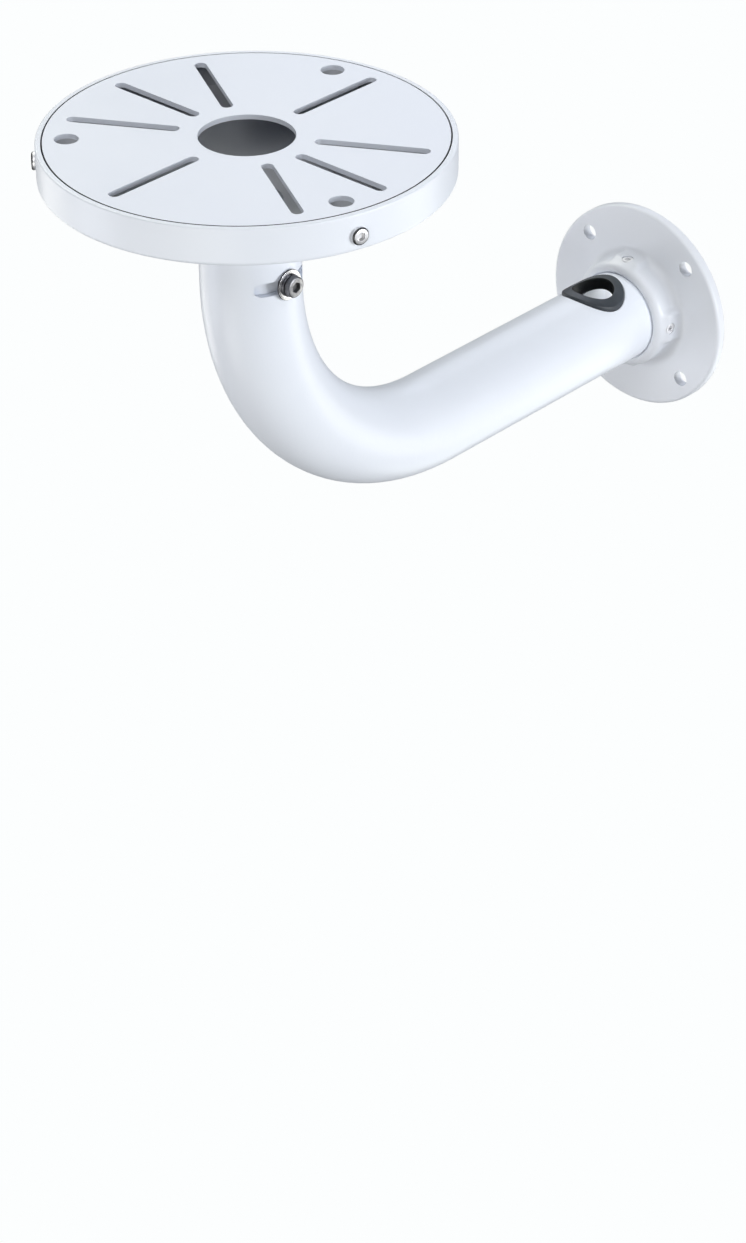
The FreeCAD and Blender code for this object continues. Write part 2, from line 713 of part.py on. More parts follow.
def make_headed_screw(doc, label, seat, length, radius, head, key):
    """Screw along the local X axis with the underside of its head at seat.

    head is (radius, height, bevel) and key is (across flats, depth) of its hexagon socket.
    """
    body = new_body(doc, label)
    head_radius, head_height, head_bevel = head
    across_flats, key_depth = key
    tip = seat - length
    top = seat + head_height
    tip_bevel = radius * TIP_BEVEL_SHARE
    profile = new_sketch(body, "ScrewProfile", "XZ_Plane")
    add_outline(profile, [
        (tip, 0),
        (tip, radius - tip_bevel),
        (tip + tip_bevel, radius),
        (seat, radius),
        (seat, head_radius),
        (top - head_bevel, head_radius),
        (top, head_radius - head_bevel),
        (top, 0),
    ])
    revolve(body, profile, "ScrewTurn", "H_Axis")
    socket = new_sketch(body, "SocketOutline", "YZ_Plane", lift=top)
    add_hexagon(socket, across_flats)
    pocket(body, socket, "Socket", depth=key_depth)
    return body


def make_ring(doc, label, start, thickness, bore, radius):
    """Flat ring about the local X axis."""
    body = new_body(doc, label)
    profile = new_sketch(body, "RingProfile", "XZ_Plane")
    add_outline(profile, [(start, bore), (start + thickness, bore),
                          (start + thickness, radius), (start, radius)])
    revolve(body, profile, "RingTurn", "H_Axis")
    return body


def split_ring(body, start, thickness, split):
    """Cut the slanted split of a spring washer through the upper side of its ring."""
    outline = new_sketch(body, "SplitOutline")
    left = start - thickness
    right = start + thickness * 2
    slant = thickness * SPLIT_SLANT_SHARE
    half = split / 2
    add_outline(outline, [(left, -slant - half), (right, slant - half),
                          (right, slant + half), (left, half - slant)])
    pocket(body, outline, "Split", outward=True)


def main():
    doc = FreeCAD.newDocument("WallBracket")
    s = fill_sheet(doc)
    pieces = [make_wall_flange(doc, s), make_arm_tube(doc, s), make_cable_grommet(doc, s)]
    for i in range(GRUB_COUNT):
        grub = make_grub_screw(doc, s, f"grub_screw_{i + 1}")
        place(grub, y=-s.grub_height, turn=i * FULL_TURN / GRUB_COUNT, axis=(0, 1, 0))
        pieces.append(grub)

    pieces += [make_cup_housing(doc, s), make_mounting_plate(doc, s)]
    rim_head = (s.rim_head_radius, s.rim_head_height, s.rim_head_bevel)
    for i in range(LUG_COUNT):
        screw = make_headed_screw(doc, f"rim_screw_{i + 1}", s.cup_radius, s.rim_screw_length,
                                  s.rim_screw_radius, rim_head, (s.rim_key, s.rim_key_depth))
        turn = s.lug_angle + i * FULL_TURN / LUG_COUNT
        place(screw, y=-s.reach, z=-(s.drop - s.rim_screw_height), turn=turn)
        pieces.append(screw)

    washer_start = s.tube_radius + s.washer_gap
    spring_start = washer_start + s.washer_thickness
    clamp_seat = spring_start + s.spring_thickness
    clamp_head = (s.clamp_head_radius, s.clamp_head_height, s.clamp_head_bevel)
    for i in range(CLAMP_COUNT):
        side = i + 1
        screw = make_headed_screw(doc, f"clamp_screw_{side}", clamp_seat, s.clamp_length,
                                  s.clamp_radius, clamp_head, (s.clamp_key, s.clamp_key_depth))
        washer = make_ring(doc, f"flat_washer_{side}", washer_start, s.washer_thickness,
                           s.washer_bore_radius, s.washer_radius)
        spring = make_ring(doc, f"spring_washer_{side}", spring_start, s.spring_thickness,
                           s.spring_bore_radius, s.spring_radius)
        split_ring(spring, spring_start, s.spring_thickness, s.spring_split)
        for piece in (screw, washer, spring):
            place(piece, y=-s.reach, z=-(s.drop - s.clamp_height), turn=i * FULL_TURN / CLAMP_COUNT)
            pieces.append(piece)
    doc.recompute()
    check(doc, pieces)
    write(pieces)


def check(doc, pieces):
    """Stop on any failed object, or any piece that is not one valid solid."""
    for item in doc.Objects:
        if "Invalid" in item.State or "Error" in item.State:
            raise RuntimeError(f"{item.Label} failed: {item.State}")
    for piece in pieces:
        shape = piece.Shape
        if shape.isNull() or not shape.isValid() or len(shape.Solids) != 1:
            raise RuntimeError(f"{piece.Label} is not one valid solid")


def write(pieces):
    os.makedirs("parts", exist_ok=True)
    for piece in pieces:
        piece.Shape.exportStep(f"parts/{piece.Label}.step")
        box = piece.Shape.BoundBox
        print(f"{piece.Label}: {piece.Shape.Volume:.0f} mm3, "
              f"x {box.XMin:.1f} to {box.XMax:.1f}, y {box.YMin:.1f} to {box.YMax:.1f}, "
              f"z {box.ZMin:.1f} to {box.ZMax:.1f}")


main()
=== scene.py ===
"""Camera wall bracket: paint, screws, rubber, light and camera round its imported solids.

The row frame is used throughout: the origin lies at the centre of the wall flange's back face, +Y points into the
wall, +Z is up, and the bracket hangs as it does in use. Sizes are written in millimetres and made metres by MM.
"""

import math

import bmesh
import bpy
from mathutils import Matrix, Vector


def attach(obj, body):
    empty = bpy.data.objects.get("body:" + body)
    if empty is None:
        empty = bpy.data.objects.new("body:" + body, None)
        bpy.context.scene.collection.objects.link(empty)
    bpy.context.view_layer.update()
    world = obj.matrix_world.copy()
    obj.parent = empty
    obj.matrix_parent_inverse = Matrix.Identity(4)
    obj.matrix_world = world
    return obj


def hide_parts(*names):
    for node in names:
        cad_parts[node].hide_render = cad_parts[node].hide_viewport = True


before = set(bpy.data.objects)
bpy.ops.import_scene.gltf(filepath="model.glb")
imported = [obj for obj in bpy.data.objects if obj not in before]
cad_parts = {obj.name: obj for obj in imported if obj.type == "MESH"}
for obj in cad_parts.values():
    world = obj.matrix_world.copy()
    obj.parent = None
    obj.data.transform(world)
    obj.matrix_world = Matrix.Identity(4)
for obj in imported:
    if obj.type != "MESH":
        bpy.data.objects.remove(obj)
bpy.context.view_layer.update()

MM = 0.001
FULL_TURN = 2 * math.pi

# Places that several pieces share
REACH = 245
DROP = 165
TUBE_RADIUS = 20
TUBE_WALL = 2.5
CUP_RADIUS = 80
CLAMP_HEIGHT = 56

PLATE_SIZES = {
    "Plate Radius": 77.2 * MM,
    "Sheet": 2 * MM,
    "Cable Hole Radius": 18.7 * MM,
    "Slot Inner": 26.4 * MM,
    "Slot Outer": 71 * MM,
    "Slot Width": 4.8 * MM,
    "Slot Lean": math.radians(30),
    "Lug Angle": math.radians(75),
    "Lug Circle": 68 * MM,
    "Lug Radius": 6.75 * MM,
    "Lug End": 76.9 * MM,
    "Lug Corner": 0.5 * MM,
    "Lug Bore": 4.75 * MM,
    "Lug Height": 12.4 * MM,
    "Axis Y": -REACH * MM,
    "Face Z": -DROP * MM,
}
PLATE_EDGE_ROUND = 0.22 * MM

FLANGE_SIZES = {
    "Flange Radius": 47 * MM,
    "Thickness": 4.4 * MM,
    "Edge Round": 1.4 * MM,
    "Back Round": 0.3 * MM,
    "Foot Round": 4.5 * MM,
    "Collar Radius": 24.4 * MM,
    "Collar Height": 17.2 * MM,
    "Mouth Round": 3.4 * MM,
    "Socket Radius": 20.05 * MM,
    "Socket Lead": 0.7 * MM,
    "Seat": 4 * MM,
    "Cable Radius": 17.5 * MM,
    "Pad Face": 25.5 * MM,
    "Pad Width": 15 * MM,
    "Pad Top": 14.2 * MM,
    "Pad Corner": 9 * MM,
    "Pad Blend": 5 * MM,
    "Screw Hole": 2.53 * MM,
    "Screw Height": 10.9 * MM,
    "Wall Hole": 3.5 * MM,
    "Wall Hole Circle": 38.5 * MM,
}

RIM_SCREW_SIZES = {
    "Head Radius": 3.5 * MM,
    "Head Height": 1.6 * MM,
    "Head Bevel": 0.6 * MM,
    "Knurl Depth": 0.0,
    "Knurls": 1,
    "Key Width": 3 * MM,
    "Key Depth": 1.2 * MM,
    "Thread Radius": 2 * MM,
    "Thread Length": 8 * MM,
    "Pitch": 0.7 * MM,
    "Count": 3,
    "Seat": CUP_RADIUS * MM,
    "First Turn": math.radians(75),
    "Turn Step": math.radians(120),
    "Axis Y": -REACH * MM,
    "Axis Z": -(DROP - 8.7) * MM,
}
CLAMP_SCREW_SIZES = {
    "Head Radius": 4.25 * MM,
    "Head Height": 2.5 * MM,
    "Head Bevel": 0.5 * MM,
    "Knurl Depth": 0.16 * MM,
    "Knurls": 40,
    "Key Width": 4 * MM,
    "Key Depth": 1.6 * MM,
    "Thread Radius": 2.5 * MM,
    "Thread Length": 10 * MM,
    "Pitch": 0.8 * MM,
    "Count": 2,
    "Seat": 22.1 * MM,
    "First Turn": 0.0,
    "Turn Step": math.pi,
    "Axis Y": -REACH * MM,
    "Axis Z": -(DROP - CLAMP_HEIGHT) * MM,
}
GRUB_SCREW_SIZES = {
    "Thread Radius": 2.5 * MM,
    "Thread Length": 5.4 * MM,
    "Pitch": 0.8 * MM,
    "Key Width": 2.5 * MM,
    "Key Depth": 1.3 * MM,
    "Count": 4,
    "Tip": (TUBE_RADIUS + 0.02) * MM,
    "Axis Y": -10.9 * MM,
}
FLAT_WASHER_SIZES = {
    "Outside": 6.25 * MM,
    "Bore": 2.65 * MM,
    "Thickness": 0.8 * MM,
    "Edge Round": 0.2 * MM,
    "Seat": 20.3 * MM,
    "Axis Y": -REACH * MM,
    "Axis Z": -(DROP - CLAMP_HEIGHT) * MM,
}
SPRING_WASHER_SIZES = {
    "Outside": 4.6 * MM,
    "Bore": 2.6 * MM,
    "Thickness": 0.8 * MM,
    "Edge Round": 0.15 * MM,
    "Split": math.radians(11),
    "Rise": 0.2 * MM,
    "Seat": 21.1 * MM,
    "Axis Y": -REACH * MM,
    "Axis Z": -(DROP - CLAMP_HEIGHT) * MM,
}

# The rubber saddle: distances from the opening's axis, then radii about the arm's axis that its faces are bent to
SADDLE_Y = -34.5
SADDLE_HOLE = 13.6
SADDLE_BORE = 9.2
SADDLE_LIP = 15.6
SADDLE_OUTSIDE = TUBE_RADIUS + 1.1
SADDLE_LIP_OUTSIDE = TUBE_RADIUS - TUBE_WALL - 0.05
SADDLE_LIP_INSIDE = SADDLE_LIP_OUTSIDE - 2
SADDLE_STEPS = 160
# No point of the lip lies nearer to the level of the arm's axis than this
SADDLE_LEAST_DEPTH = 5

# Where shade is painted into the coat: near black on the plate's edge for the gap at the cup's rim, and grey on
# the cup's inside under its crown arc
GAP_SHADE_FROM = 77.1
CUP_WALL = 2.2
CROWN_ARC = 155
CROWN_CENTRE = (15.25, -126.3)
UNSHADED_RIM = 1.5

# How finely round shapes are divided
FLANGE_SIDES = 240
DRILL_SIDES = 64
PLATE_RIM_SIDES = 256
CABLE_HOLE_SIDES = 128
LUG_BORE_SIDES = 48
SLOT_END_STEPS = 10
LUG_END_STEPS = 12
HEAD_SIDES = 160
THREAD_SIDES = 40
ROWS_PER_PITCH = 8
WASHER_SIDES = 96
COIL_SIDES = 72
WASHER_EDGE_STEPS = 3

# Points nearer than this are one point
JOIN_WITHIN = 0.002 * MM
# Faces that meet at more than this angle keep a hard line
HARD_EDGE = 0.6


# Node trees


THREE_INPUT_MATHS = ("MULTIPLY_ADD", "SMOOTH_MIN", "SMOOTH_MAX")


class Nodes:
    """Adds nodes to a tree. An input given as a socket is joined to it, and any other value is set."""

    def __init__(self, tree):
        self.tree = tree

    def add(self, kind, inputs=None, **settings):
        node = self.tree.nodes.new(kind)
        for name, value in settings.items():
            setattr(node, name, value)
        for key, value in (inputs or {}).items():
            self.feed(node.inputs[key], value)
        return node

    def feed(self, socket, value):
        if isinstance(value, bpy.types.NodeSocket):
            self.tree.links.new(value, socket)
        elif isinstance(value, list):
            for item in reversed(value):
                self.tree.links.new(item, socket)
        else:
            socket.default_value = value

    def maths(self, operation, a, b=0.0, c=0.0):
        values = {0: a, 1: b, 2: c} if operation in THREE_INPUT_MATHS else {0: a, 1: b}
        return self.add("ShaderNodeMath", values, operation=operation).outputs[0]

    def times(self, a, b):
        return self.maths("MULTIPLY", a, b)

    def plus(self, a, b):
        return self.maths("ADD", a, b)

    def minus(self, a, b):
        return self.maths("SUBTRACT", a, b)

    def vector(self, x=0.0, y=0.0, z=0.0):
        return self.add("ShaderNodeCombineXYZ", {"X": x, "Y": y, "Z": z}).outputs[0]

    def split(self, vector):
        return self.add("ShaderNodeSeparateXYZ", {0: vector}).outputs


# Geometry Nodes: shared steps


def start_tree(name, sizes):
    """A Geometry Nodes tree with one named input for each size."""
    tree = bpy.data.node_groups.new(name, "GeometryNodeTree")
    for label, value in sizes.items():
        kind = "NodeSocketInt" if isinstance(value, int) else "NodeSocketFloat"
        tree.interface.new_socket(label, in_out="INPUT", socket_type=kind)
    tree.interface.new_socket("Mesh", in_out="OUTPUT", socket_type="NodeSocketGeometry")
    nodes = Nodes(tree)
    return nodes, nodes.add("NodeGroupInput").outputs


def end_tree(nodes, geometry, material):
    real = nodes.add("GeometryNodeRealizeInstances", {"Geometry": geometry}).outputs[0]
    painted = nodes.add("GeometryNodeSetMaterial", {"Geometry": real, "Material": material}).outputs[0]
    nodes.add("NodeGroupOutput", {"Mesh": painted})


def grow(name, nodes, sizes):
    """Run a tree once with these sizes and keep its result as a plain mesh."""
    piece = bpy.data.objects.new(name, bpy.data.meshes.new(name))
    bpy.context.scene.collection.objects.link(piece)
    modifier = piece.modifiers.new(name, "NODES")
    modifier.node_group = nodes.tree
    for item in nodes.tree.interface.items_tree:
        if item.in_out == "INPUT":
            modifier[item.identifier] = sizes[item.name]
    depsgraph = bpy.context.evaluated_depsgraph_get()
    mesh = bpy.data.meshes.new_from_object(piece.evaluated_get(depsgraph), depsgraph=depsgraph)
    piece.modifiers.clear()
    piece.data = mesh
    mesh.name = name
    return piece


def join(nodes, *parts):
    return nodes.add("GeometryNodeJoinGeometry", {0: list(parts)}).outputs[0]


def shift(nodes, geometry, x=0.0, y=0.0, z=0.0):
    inputs = {"Geometry": geometry, "Translation": nodes.vector(x, y, z)}
    return nodes.add("GeometryNodeTransform", inputs).outputs[0]


def mark_own_place(nodes, geometry):
    """Keep each point's place on its own piece, so that a finish can follow the piece wherever it sits."""
    place = nodes.add("GeometryNodeInputPosition").outputs[0]
    inputs = {"Geometry": geometry, "Name": "own_place", "Value": place}
    node = nodes.add("GeometryNodeStoreNamedAttribute", inputs, data_type="FLOAT_VECTOR", domain="POINT")
    return node.outputs[0]


def smooth_but_edges(nodes, geometry):
    """Smooth shading with a hard line wherever two faces meet at a clear angle."""
    soft = nodes.add("GeometryNodeSetShadeSmooth", {"Geometry": geometry, "Shade Smooth": True}, domain="FACE")
    bend = nodes.add("GeometryNodeInputMeshEdgeAngle").outputs["Unsigned Angle"]
    sharp = nodes.maths("GREATER_THAN", bend, HARD_EDGE)
    inputs = {"Geometry": soft.outputs[0], "Selection": sharp, "Shade Smooth": False}
    return nodes.add("GeometryNodeSetShadeSmooth", inputs, domain="EDGE").outputs[0]


def set_round(nodes, geometry, count, rotation, x=0.0, y=0.0, z=0.0):
    """Copies of a piece about one point. The rotation may use the copy's index."""
    points = nodes.add("GeometryNodeMeshLine", {"Count": count, "Start Location": nodes.vector(x, y, z),
                                                "Offset": (0.0, 0.0, 0.0)}).outputs[0]
    inputs = {"Points": points, "Instance": geometry, "Rotation": rotation}
    return nodes.add("GeometryNodeInstanceOnPoints", inputs).outputs[0]


def by_row(nodes, row, values):
    """One value for each row of a turned piece."""
    switch = nodes.add("GeometryNodeIndexSwitch", {"Index": row}, data_type="FLOAT")
    while len(switch.index_switch_items) < len(values):
        switch.index_switch_items.new()
    for number, value in enumerate(values):
        nodes.feed(switch.inputs[number + 1], value)
    return switch.outputs[0]


def turned(nodes, profile, sides, knurls):
    """A closed turned piece about Z. The profile lists radius, height and knurl depth from bottom to top."""
    rows = len(profile) - 1
    blank = nodes.add("GeometryNodeMeshCylinder", {"Vertices": sides, "Side Segments": rows, "Radius": 1.0,
                                                   "Depth": 1.0}, fill_type="NGON").outputs[0]
    x, y, z = nodes.split(nodes.add("GeometryNodeInputPosition").outputs[0])
    row = nodes.maths("ROUND", nodes.times(nodes.plus(z, 0.5), float(rows)))
    radius = by_row(nodes, row, [step[0] for step in profile])
    height = by_row(nodes, row, [step[1] for step in profile])
    depth = by_row(nodes, row, [step[2] for step in profile])
    angle = nodes.maths("ARCTAN2", y, x)
    wave = nodes.maths("PINGPONG", nodes.times(angle, nodes.maths("DIVIDE", knurls, math.pi)), 1.0)
    reach = nodes.minus(radius, nodes.times(depth, wave))
    place = nodes.vector(nodes.times(x, reach), nodes.times(y, reach), height)
    return nodes.add("GeometryNodeSetPosition", {"Geometry": blank, "Position": place}).outputs[0]


# Shares of the pitch
THREAD_DEPTH = 0.55
TIP_BEVEL = 0.8


def threaded(nodes, radius, length, pitch):
    """A threaded rod about Z from 0 down to minus its length, with a bevelled tip."""
    rows = nodes.maths("ROUND", nodes.times(nodes.maths("DIVIDE", length, pitch), float(ROWS_PER_PITCH)))
    rod = nodes.add("GeometryNodeMeshCylinder", {"Vertices": THREAD_SIDES, "Side Segments": rows,
                                                 "Radius": 1.0, "Depth": length}, fill_type="NGON").outputs[0]
    rod = shift(nodes, rod, z=nodes.times(length, -0.5))
    x, y, z = nodes.split(nodes.add("GeometryNodeInputPosition").outputs[0])
    turn = nodes.maths("DIVIDE", nodes.maths("ARCTAN2", y, x), FULL_TURN)
    along = nodes.minus(nodes.maths("DIVIDE", z, pitch), turn)
    wave = nodes.maths("PINGPONG", nodes.times(along, 2.0), 1.0)
    groove = nodes.times(nodes.times(wave, wave), nodes.times(pitch, THREAD_DEPTH))
    from_tip = nodes.plus(z, length)
    tip = nodes.plus(nodes.minus(radius, nodes.times(pitch, TIP_BEVEL)), from_tip)
    reach = nodes.maths("MINIMUM", nodes.minus(radius, groove), tip)
    place = nodes.vector(nodes.times(x, reach), nodes.times(y, reach), z)
    return nodes.add("GeometryNodeSetPosition", {"Geometry": rod, "Position": place}).outputs[0]


def cut_away(nodes, blank, tools):
    inputs = {"Mesh 1": blank, "Mesh 2": tools}
    node = nodes.add("GeometryNodeMeshBoolean", inputs, operation="DIFFERENCE", solver="EXACT")
    return node.outputs["Mesh"]


def broached(nodes, geometry, width, depth, top):
    """Cut a hexagon socket down from the top."""
    prism = nodes.add("GeometryNodeMeshCylinder", {
        "Vertices": 6,
        "Radius": nodes.times(width, 1 / math.sqrt(3)),
        "Depth": nodes.times(depth, 2.0),
    }, fill_type="NGON").outputs[0]
    return cut_away(nodes, geometry, shift(nodes, prism, z=top))


# Geometry Nodes: the pieces


# The head's rounded top edge: in from its rim and down from its top, in bevels
HEAD_EDGE = ((0.25, 0.45), (0.8, 0.08), (1.15, 0.0))
LOWER_BEVEL = 0.3


def headed_screw_tree(name, sizes, material):
    """Screws whose heads stand round an upright axis, each with its thread pointing at that axis."""
    nodes, size = start_tree(name, sizes)
    radius, height, bevel = size["Head Radius"], size["Head Height"], size["Head Bevel"]
    knurl = size["Knurl Depth"]
    lower = nodes.times(bevel, LOWER_BEVEL)
    profile = [(nodes.minus(radius, lower), 0.0, 0.0), (radius, lower, knurl),
               (radius, nodes.minus(height, bevel), knurl)]
    for inward, down in HEAD_EDGE:
        across = nodes.minus(radius, nodes.times(bevel, inward))
        profile.append((across, nodes.minus(height, nodes.times(bevel, down)), 0.0))
    head = turned(nodes, profile, HEAD_SIDES, size["Knurls"])
    head = broached(nodes, head, size["Key Width"], size["Key Depth"], height)
    rod = threaded(nodes, size["Thread Radius"], size["Thread Length"], size["Pitch"])
    screw = mark_own_place(nodes, smooth_but_edges(nodes, join(nodes, head, rod)))
    screw = shift(nodes, screw, z=size["Seat"])
    index = nodes.add("GeometryNodeInputIndex").outputs[0]
    turn = nodes.plus(size["First Turn"], nodes.times(index, size["Turn Step"]))
    rotation = nodes.vector(0.0, math.pi / 2, turn)
    ring = set_round(nodes, screw, size["Count"], rotation, y=size["Axis Y"], z=size["Axis Z"])
    end_tree(nodes, ring, material)
    return nodes


def grub_screw_tree(sizes, material):
    """Set screws round the arm, tips on the tube."""
    nodes, size = start_tree("Set screws", sizes)
    rod = threaded(nodes, size["Thread Radius"], size["Thread Length"], size["Pitch"])
    rod = broached(nodes, rod, size["Key Width"], size["Key Depth"], 0.0)
    screw = mark_own_place(nodes, smooth_but_edges(nodes, rod))
    screw = shift(nodes, screw, z=nodes.plus(size["Tip"], size["Thread Length"]))
    index = nodes.add("GeometryNodeInputIndex").outputs[0]
    turn = nodes.maths("DIVIDE", nodes.times(index, FULL_TURN), size["Count"])
    rotation = nodes.vector(0.0, nodes.minus(math.pi / 2, turn), 0.0)
    ring = set_round(nodes, screw, size["Count"], rotation, y=size["Axis Y"])
    end_tree(nodes, ring, material)
    return nodes


def circle_of(nodes, radius, sides):
    return nodes.add("GeometryNodeCurvePrimitiveCircle", {"Resolution": sides, "Radius": radius}).outputs[0]


def washer_section(nodes, size):
    """The washer's cut face with rounded edges, and the radius that it is swept at."""
    width = nodes.minus(size["Outside"], size["Bore"])
    section = nodes.add("GeometryNodeCurvePrimitiveQuadrilateral",
                        {"Width": width, "Height": size["Thickness"]}).outputs[0]
    section = nodes.add("GeometryNodeFilletCurve", {"Curve": section, "Radius": size["Edge Round"],
                                                      "Count": WASHER_EDGE_STEPS}, mode="POLY").outputs[0]
    middle = nodes.times(nodes.plus(size["Outside"], size["Bore"]), 0.5)
    return section, middle


def pair_at_neck(nodes, size, washer):
    """The same washer on both clamp screws."""
    washer = mark_own_place(nodes, smooth_but_edges(nodes, washer))
    washer = shift(nodes, washer, z=nodes.plus(size["Seat"], nodes.times(size["Thickness"], 0.5)))
    index = nodes.add("GeometryNodeInputIndex").outputs[0]
    rotation = nodes.vector(0.0, math.pi / 2, nodes.times(index, math.pi))
    return set_round(nodes, washer, 2, rotation, y=size["Axis Y"], z=size["Axis Z"])


def flat_washer_tree(sizes, material):
    nodes, size = start_tree("Flat washers", sizes)
    section, middle = washer_section(nodes, size)
    ring = circle_of(nodes, middle, WASHER_SIDES)
    washer = nodes.add("GeometryNodeCurveToMesh", {"Curve": ring, "Profile Curve": section}).outputs[0]
    end_tree(nodes, pair_at_neck(nodes, size, washer), material)
    return nodes


def spring_washer_tree(sizes, material):
    nodes, size = start_tree("Spring washers", sizes)
    section, middle = washer_section(nodes, size)
    coil = nodes.add("GeometryNodeCurveArc", {
        "Resolution": COIL_SIDES,
        "Radius": middle,
        "Start Angle": nodes.times(size["Split"], 0.5),
        "Sweep Angle": nodes.minus(FULL_TURN, size["Split"]),
    }).outputs[0]
    factor = nodes.add("GeometryNodeSplineParameter").outputs["Factor"]
    climb = nodes.vector(z=nodes.times(factor, size["Rise"]))
    coil = nodes.add("GeometryNodeSetPosition", {"Geometry": coil, "Offset": climb}).outputs[0]
    washer = nodes.add("GeometryNodeCurveToMesh",
                       {"Curve": coil, "Profile Curve": section, "Fill Caps": True}).outputs[0]
    end_tree(nodes, pair_at_neck(nodes, size, washer), material)
    return nodes


def wall_of(nodes, outline, height):
    """The upright wall over a closed outline."""
    wire = nodes.add("GeometryNodeCurveToMesh", {"Curve": outline}).outputs[0]
    node = nodes.add("GeometryNodeExtrudeMesh", {"Mesh": wire, "Offset": nodes.vector(z=height)}, mode="EDGES")
    return node.outputs["Mesh"]


def lid_of(nodes, height, *outlines):
    """A flat face between outlines at one height."""
    face = nodes.add("GeometryNodeFillCurve", {"Curve": join(nodes, *outlines)}, mode="TRIANGLES").outputs[0]
    return shift(nodes, face, z=height)


def quarter_round(nodes, radius, across, up, start, steps):
    """Profile points on a quarter circle about (across, up) that begins at the start angle and turns left."""
    points = []
    for i in range(steps + 1):
        angle = math.radians(start + 90 * i / steps)
        points.append((nodes.maths("MULTIPLY_ADD", radius, math.cos(angle), across),
                       nodes.maths("MULTIPLY_ADD", radius, math.sin(angle), up)))
    return points


def revolved(nodes, profile, sides):
    """A closed profile of (radius, height) points turned about Z."""
    rows = len(profile)
    sheet = nodes.add("GeometryNodeMeshGrid", {"Size X": 1.0, "Size Y": 1.0, "Vertices X": sides + 1,
                                               "Vertices Y": rows + 1}).outputs[0]
    x, y, z = nodes.split(nodes.add("GeometryNodeInputPosition").outputs[0])
    row = nodes.maths("ROUND", nodes.times(nodes.plus(y, 0.5), float(rows)))
    loop = profile + profile[:1]
    radius = by_row(nodes, row, [point[0] for point in loop])
    height = by_row(nodes, row, [point[1] for point in loop])
    angle = nodes.times(x, FULL_TURN)
    place = nodes.vector(nodes.times(radius, nodes.maths("COSINE", angle)),
                         nodes.times(radius, nodes.maths("SINE", angle)), height)
    bent = nodes.add("GeometryNodeSetPosition", {"Geometry": sheet, "Position": place}).outputs[0]
    return nodes.add("GeometryNodeMergeByDistance", {"Geometry": bent, "Distance": JOIN_WITHIN}).outputs[0]


# The pads fade in from this far above their top to this far below it
PAD_FADE_ABOVE = 1.0
PAD_FADE_BELOW = 3.2


def swell_into_pads(nodes, geometry, size):
    """Blend four flat pads into the outside of a collar about Z."""
    x, y, z = nodes.split(nodes.add("GeometryNodeInputPosition").outputs[0])
    radius = nodes.maths("SQRT", nodes.plus(nodes.times(x, x), nodes.times(y, y)))
    off_pad = nodes.maths("PINGPONG", nodes.maths("ARCTAN2", y, x), math.pi / 4)
    to_face = nodes.maths("DIVIDE", size["Pad Face"], nodes.maths("COSINE", off_pad))
    half = nodes.times(size["Pad Width"], 0.5)
    to_side = nodes.maths("DIVIDE", half, nodes.maths("MAXIMUM", nodes.maths("SINE", off_pad), 0.01))
    pad = nodes.maths("SMOOTH_MIN", to_face, to_side, size["Pad Corner"])
    swollen = nodes.maths("SMOOTH_MAX", radius, pad, size["Pad Blend"])
    socket_mouth = nodes.plus(size["Socket Radius"], size["Socket Lead"])
    on_outside = nodes.maths("GREATER_THAN", radius, nodes.plus(socket_mouth, 0.1 * MM))
    below_top = nodes.add("ShaderNodeMapRange", {
        "Value": z,
        "From Min": nodes.plus(size["Pad Top"], PAD_FADE_ABOVE * MM),
        "From Max": nodes.minus(size["Pad Top"], PAD_FADE_BELOW * MM),
    }, interpolation_type="SMOOTHSTEP").outputs[0]
    share = nodes.times(on_outside, below_top)
    wanted = nodes.maths("MULTIPLY_ADD", nodes.minus(swollen, radius), share, radius)
    factor = nodes.maths("DIVIDE", wanted, radius)
    place = nodes.vector(nodes.times(x, factor), nodes.times(y, factor), z)
    return nodes.add("GeometryNodeSetPosition", {"Geometry": geometry, "Position": place}).outputs[0]


def drill_bit(nodes, radius, length):
    inputs = {"Vertices": DRILL_SIDES, "Radius": radius, "Depth": length}
    return nodes.add("GeometryNodeMeshCylinder", inputs, fill_type="NGON").outputs[0]


def tilt(nodes, geometry, rotation):
    return nodes.add("GeometryNodeTransform", {"Geometry": geometry, "Rotation": rotation}).outputs[0]


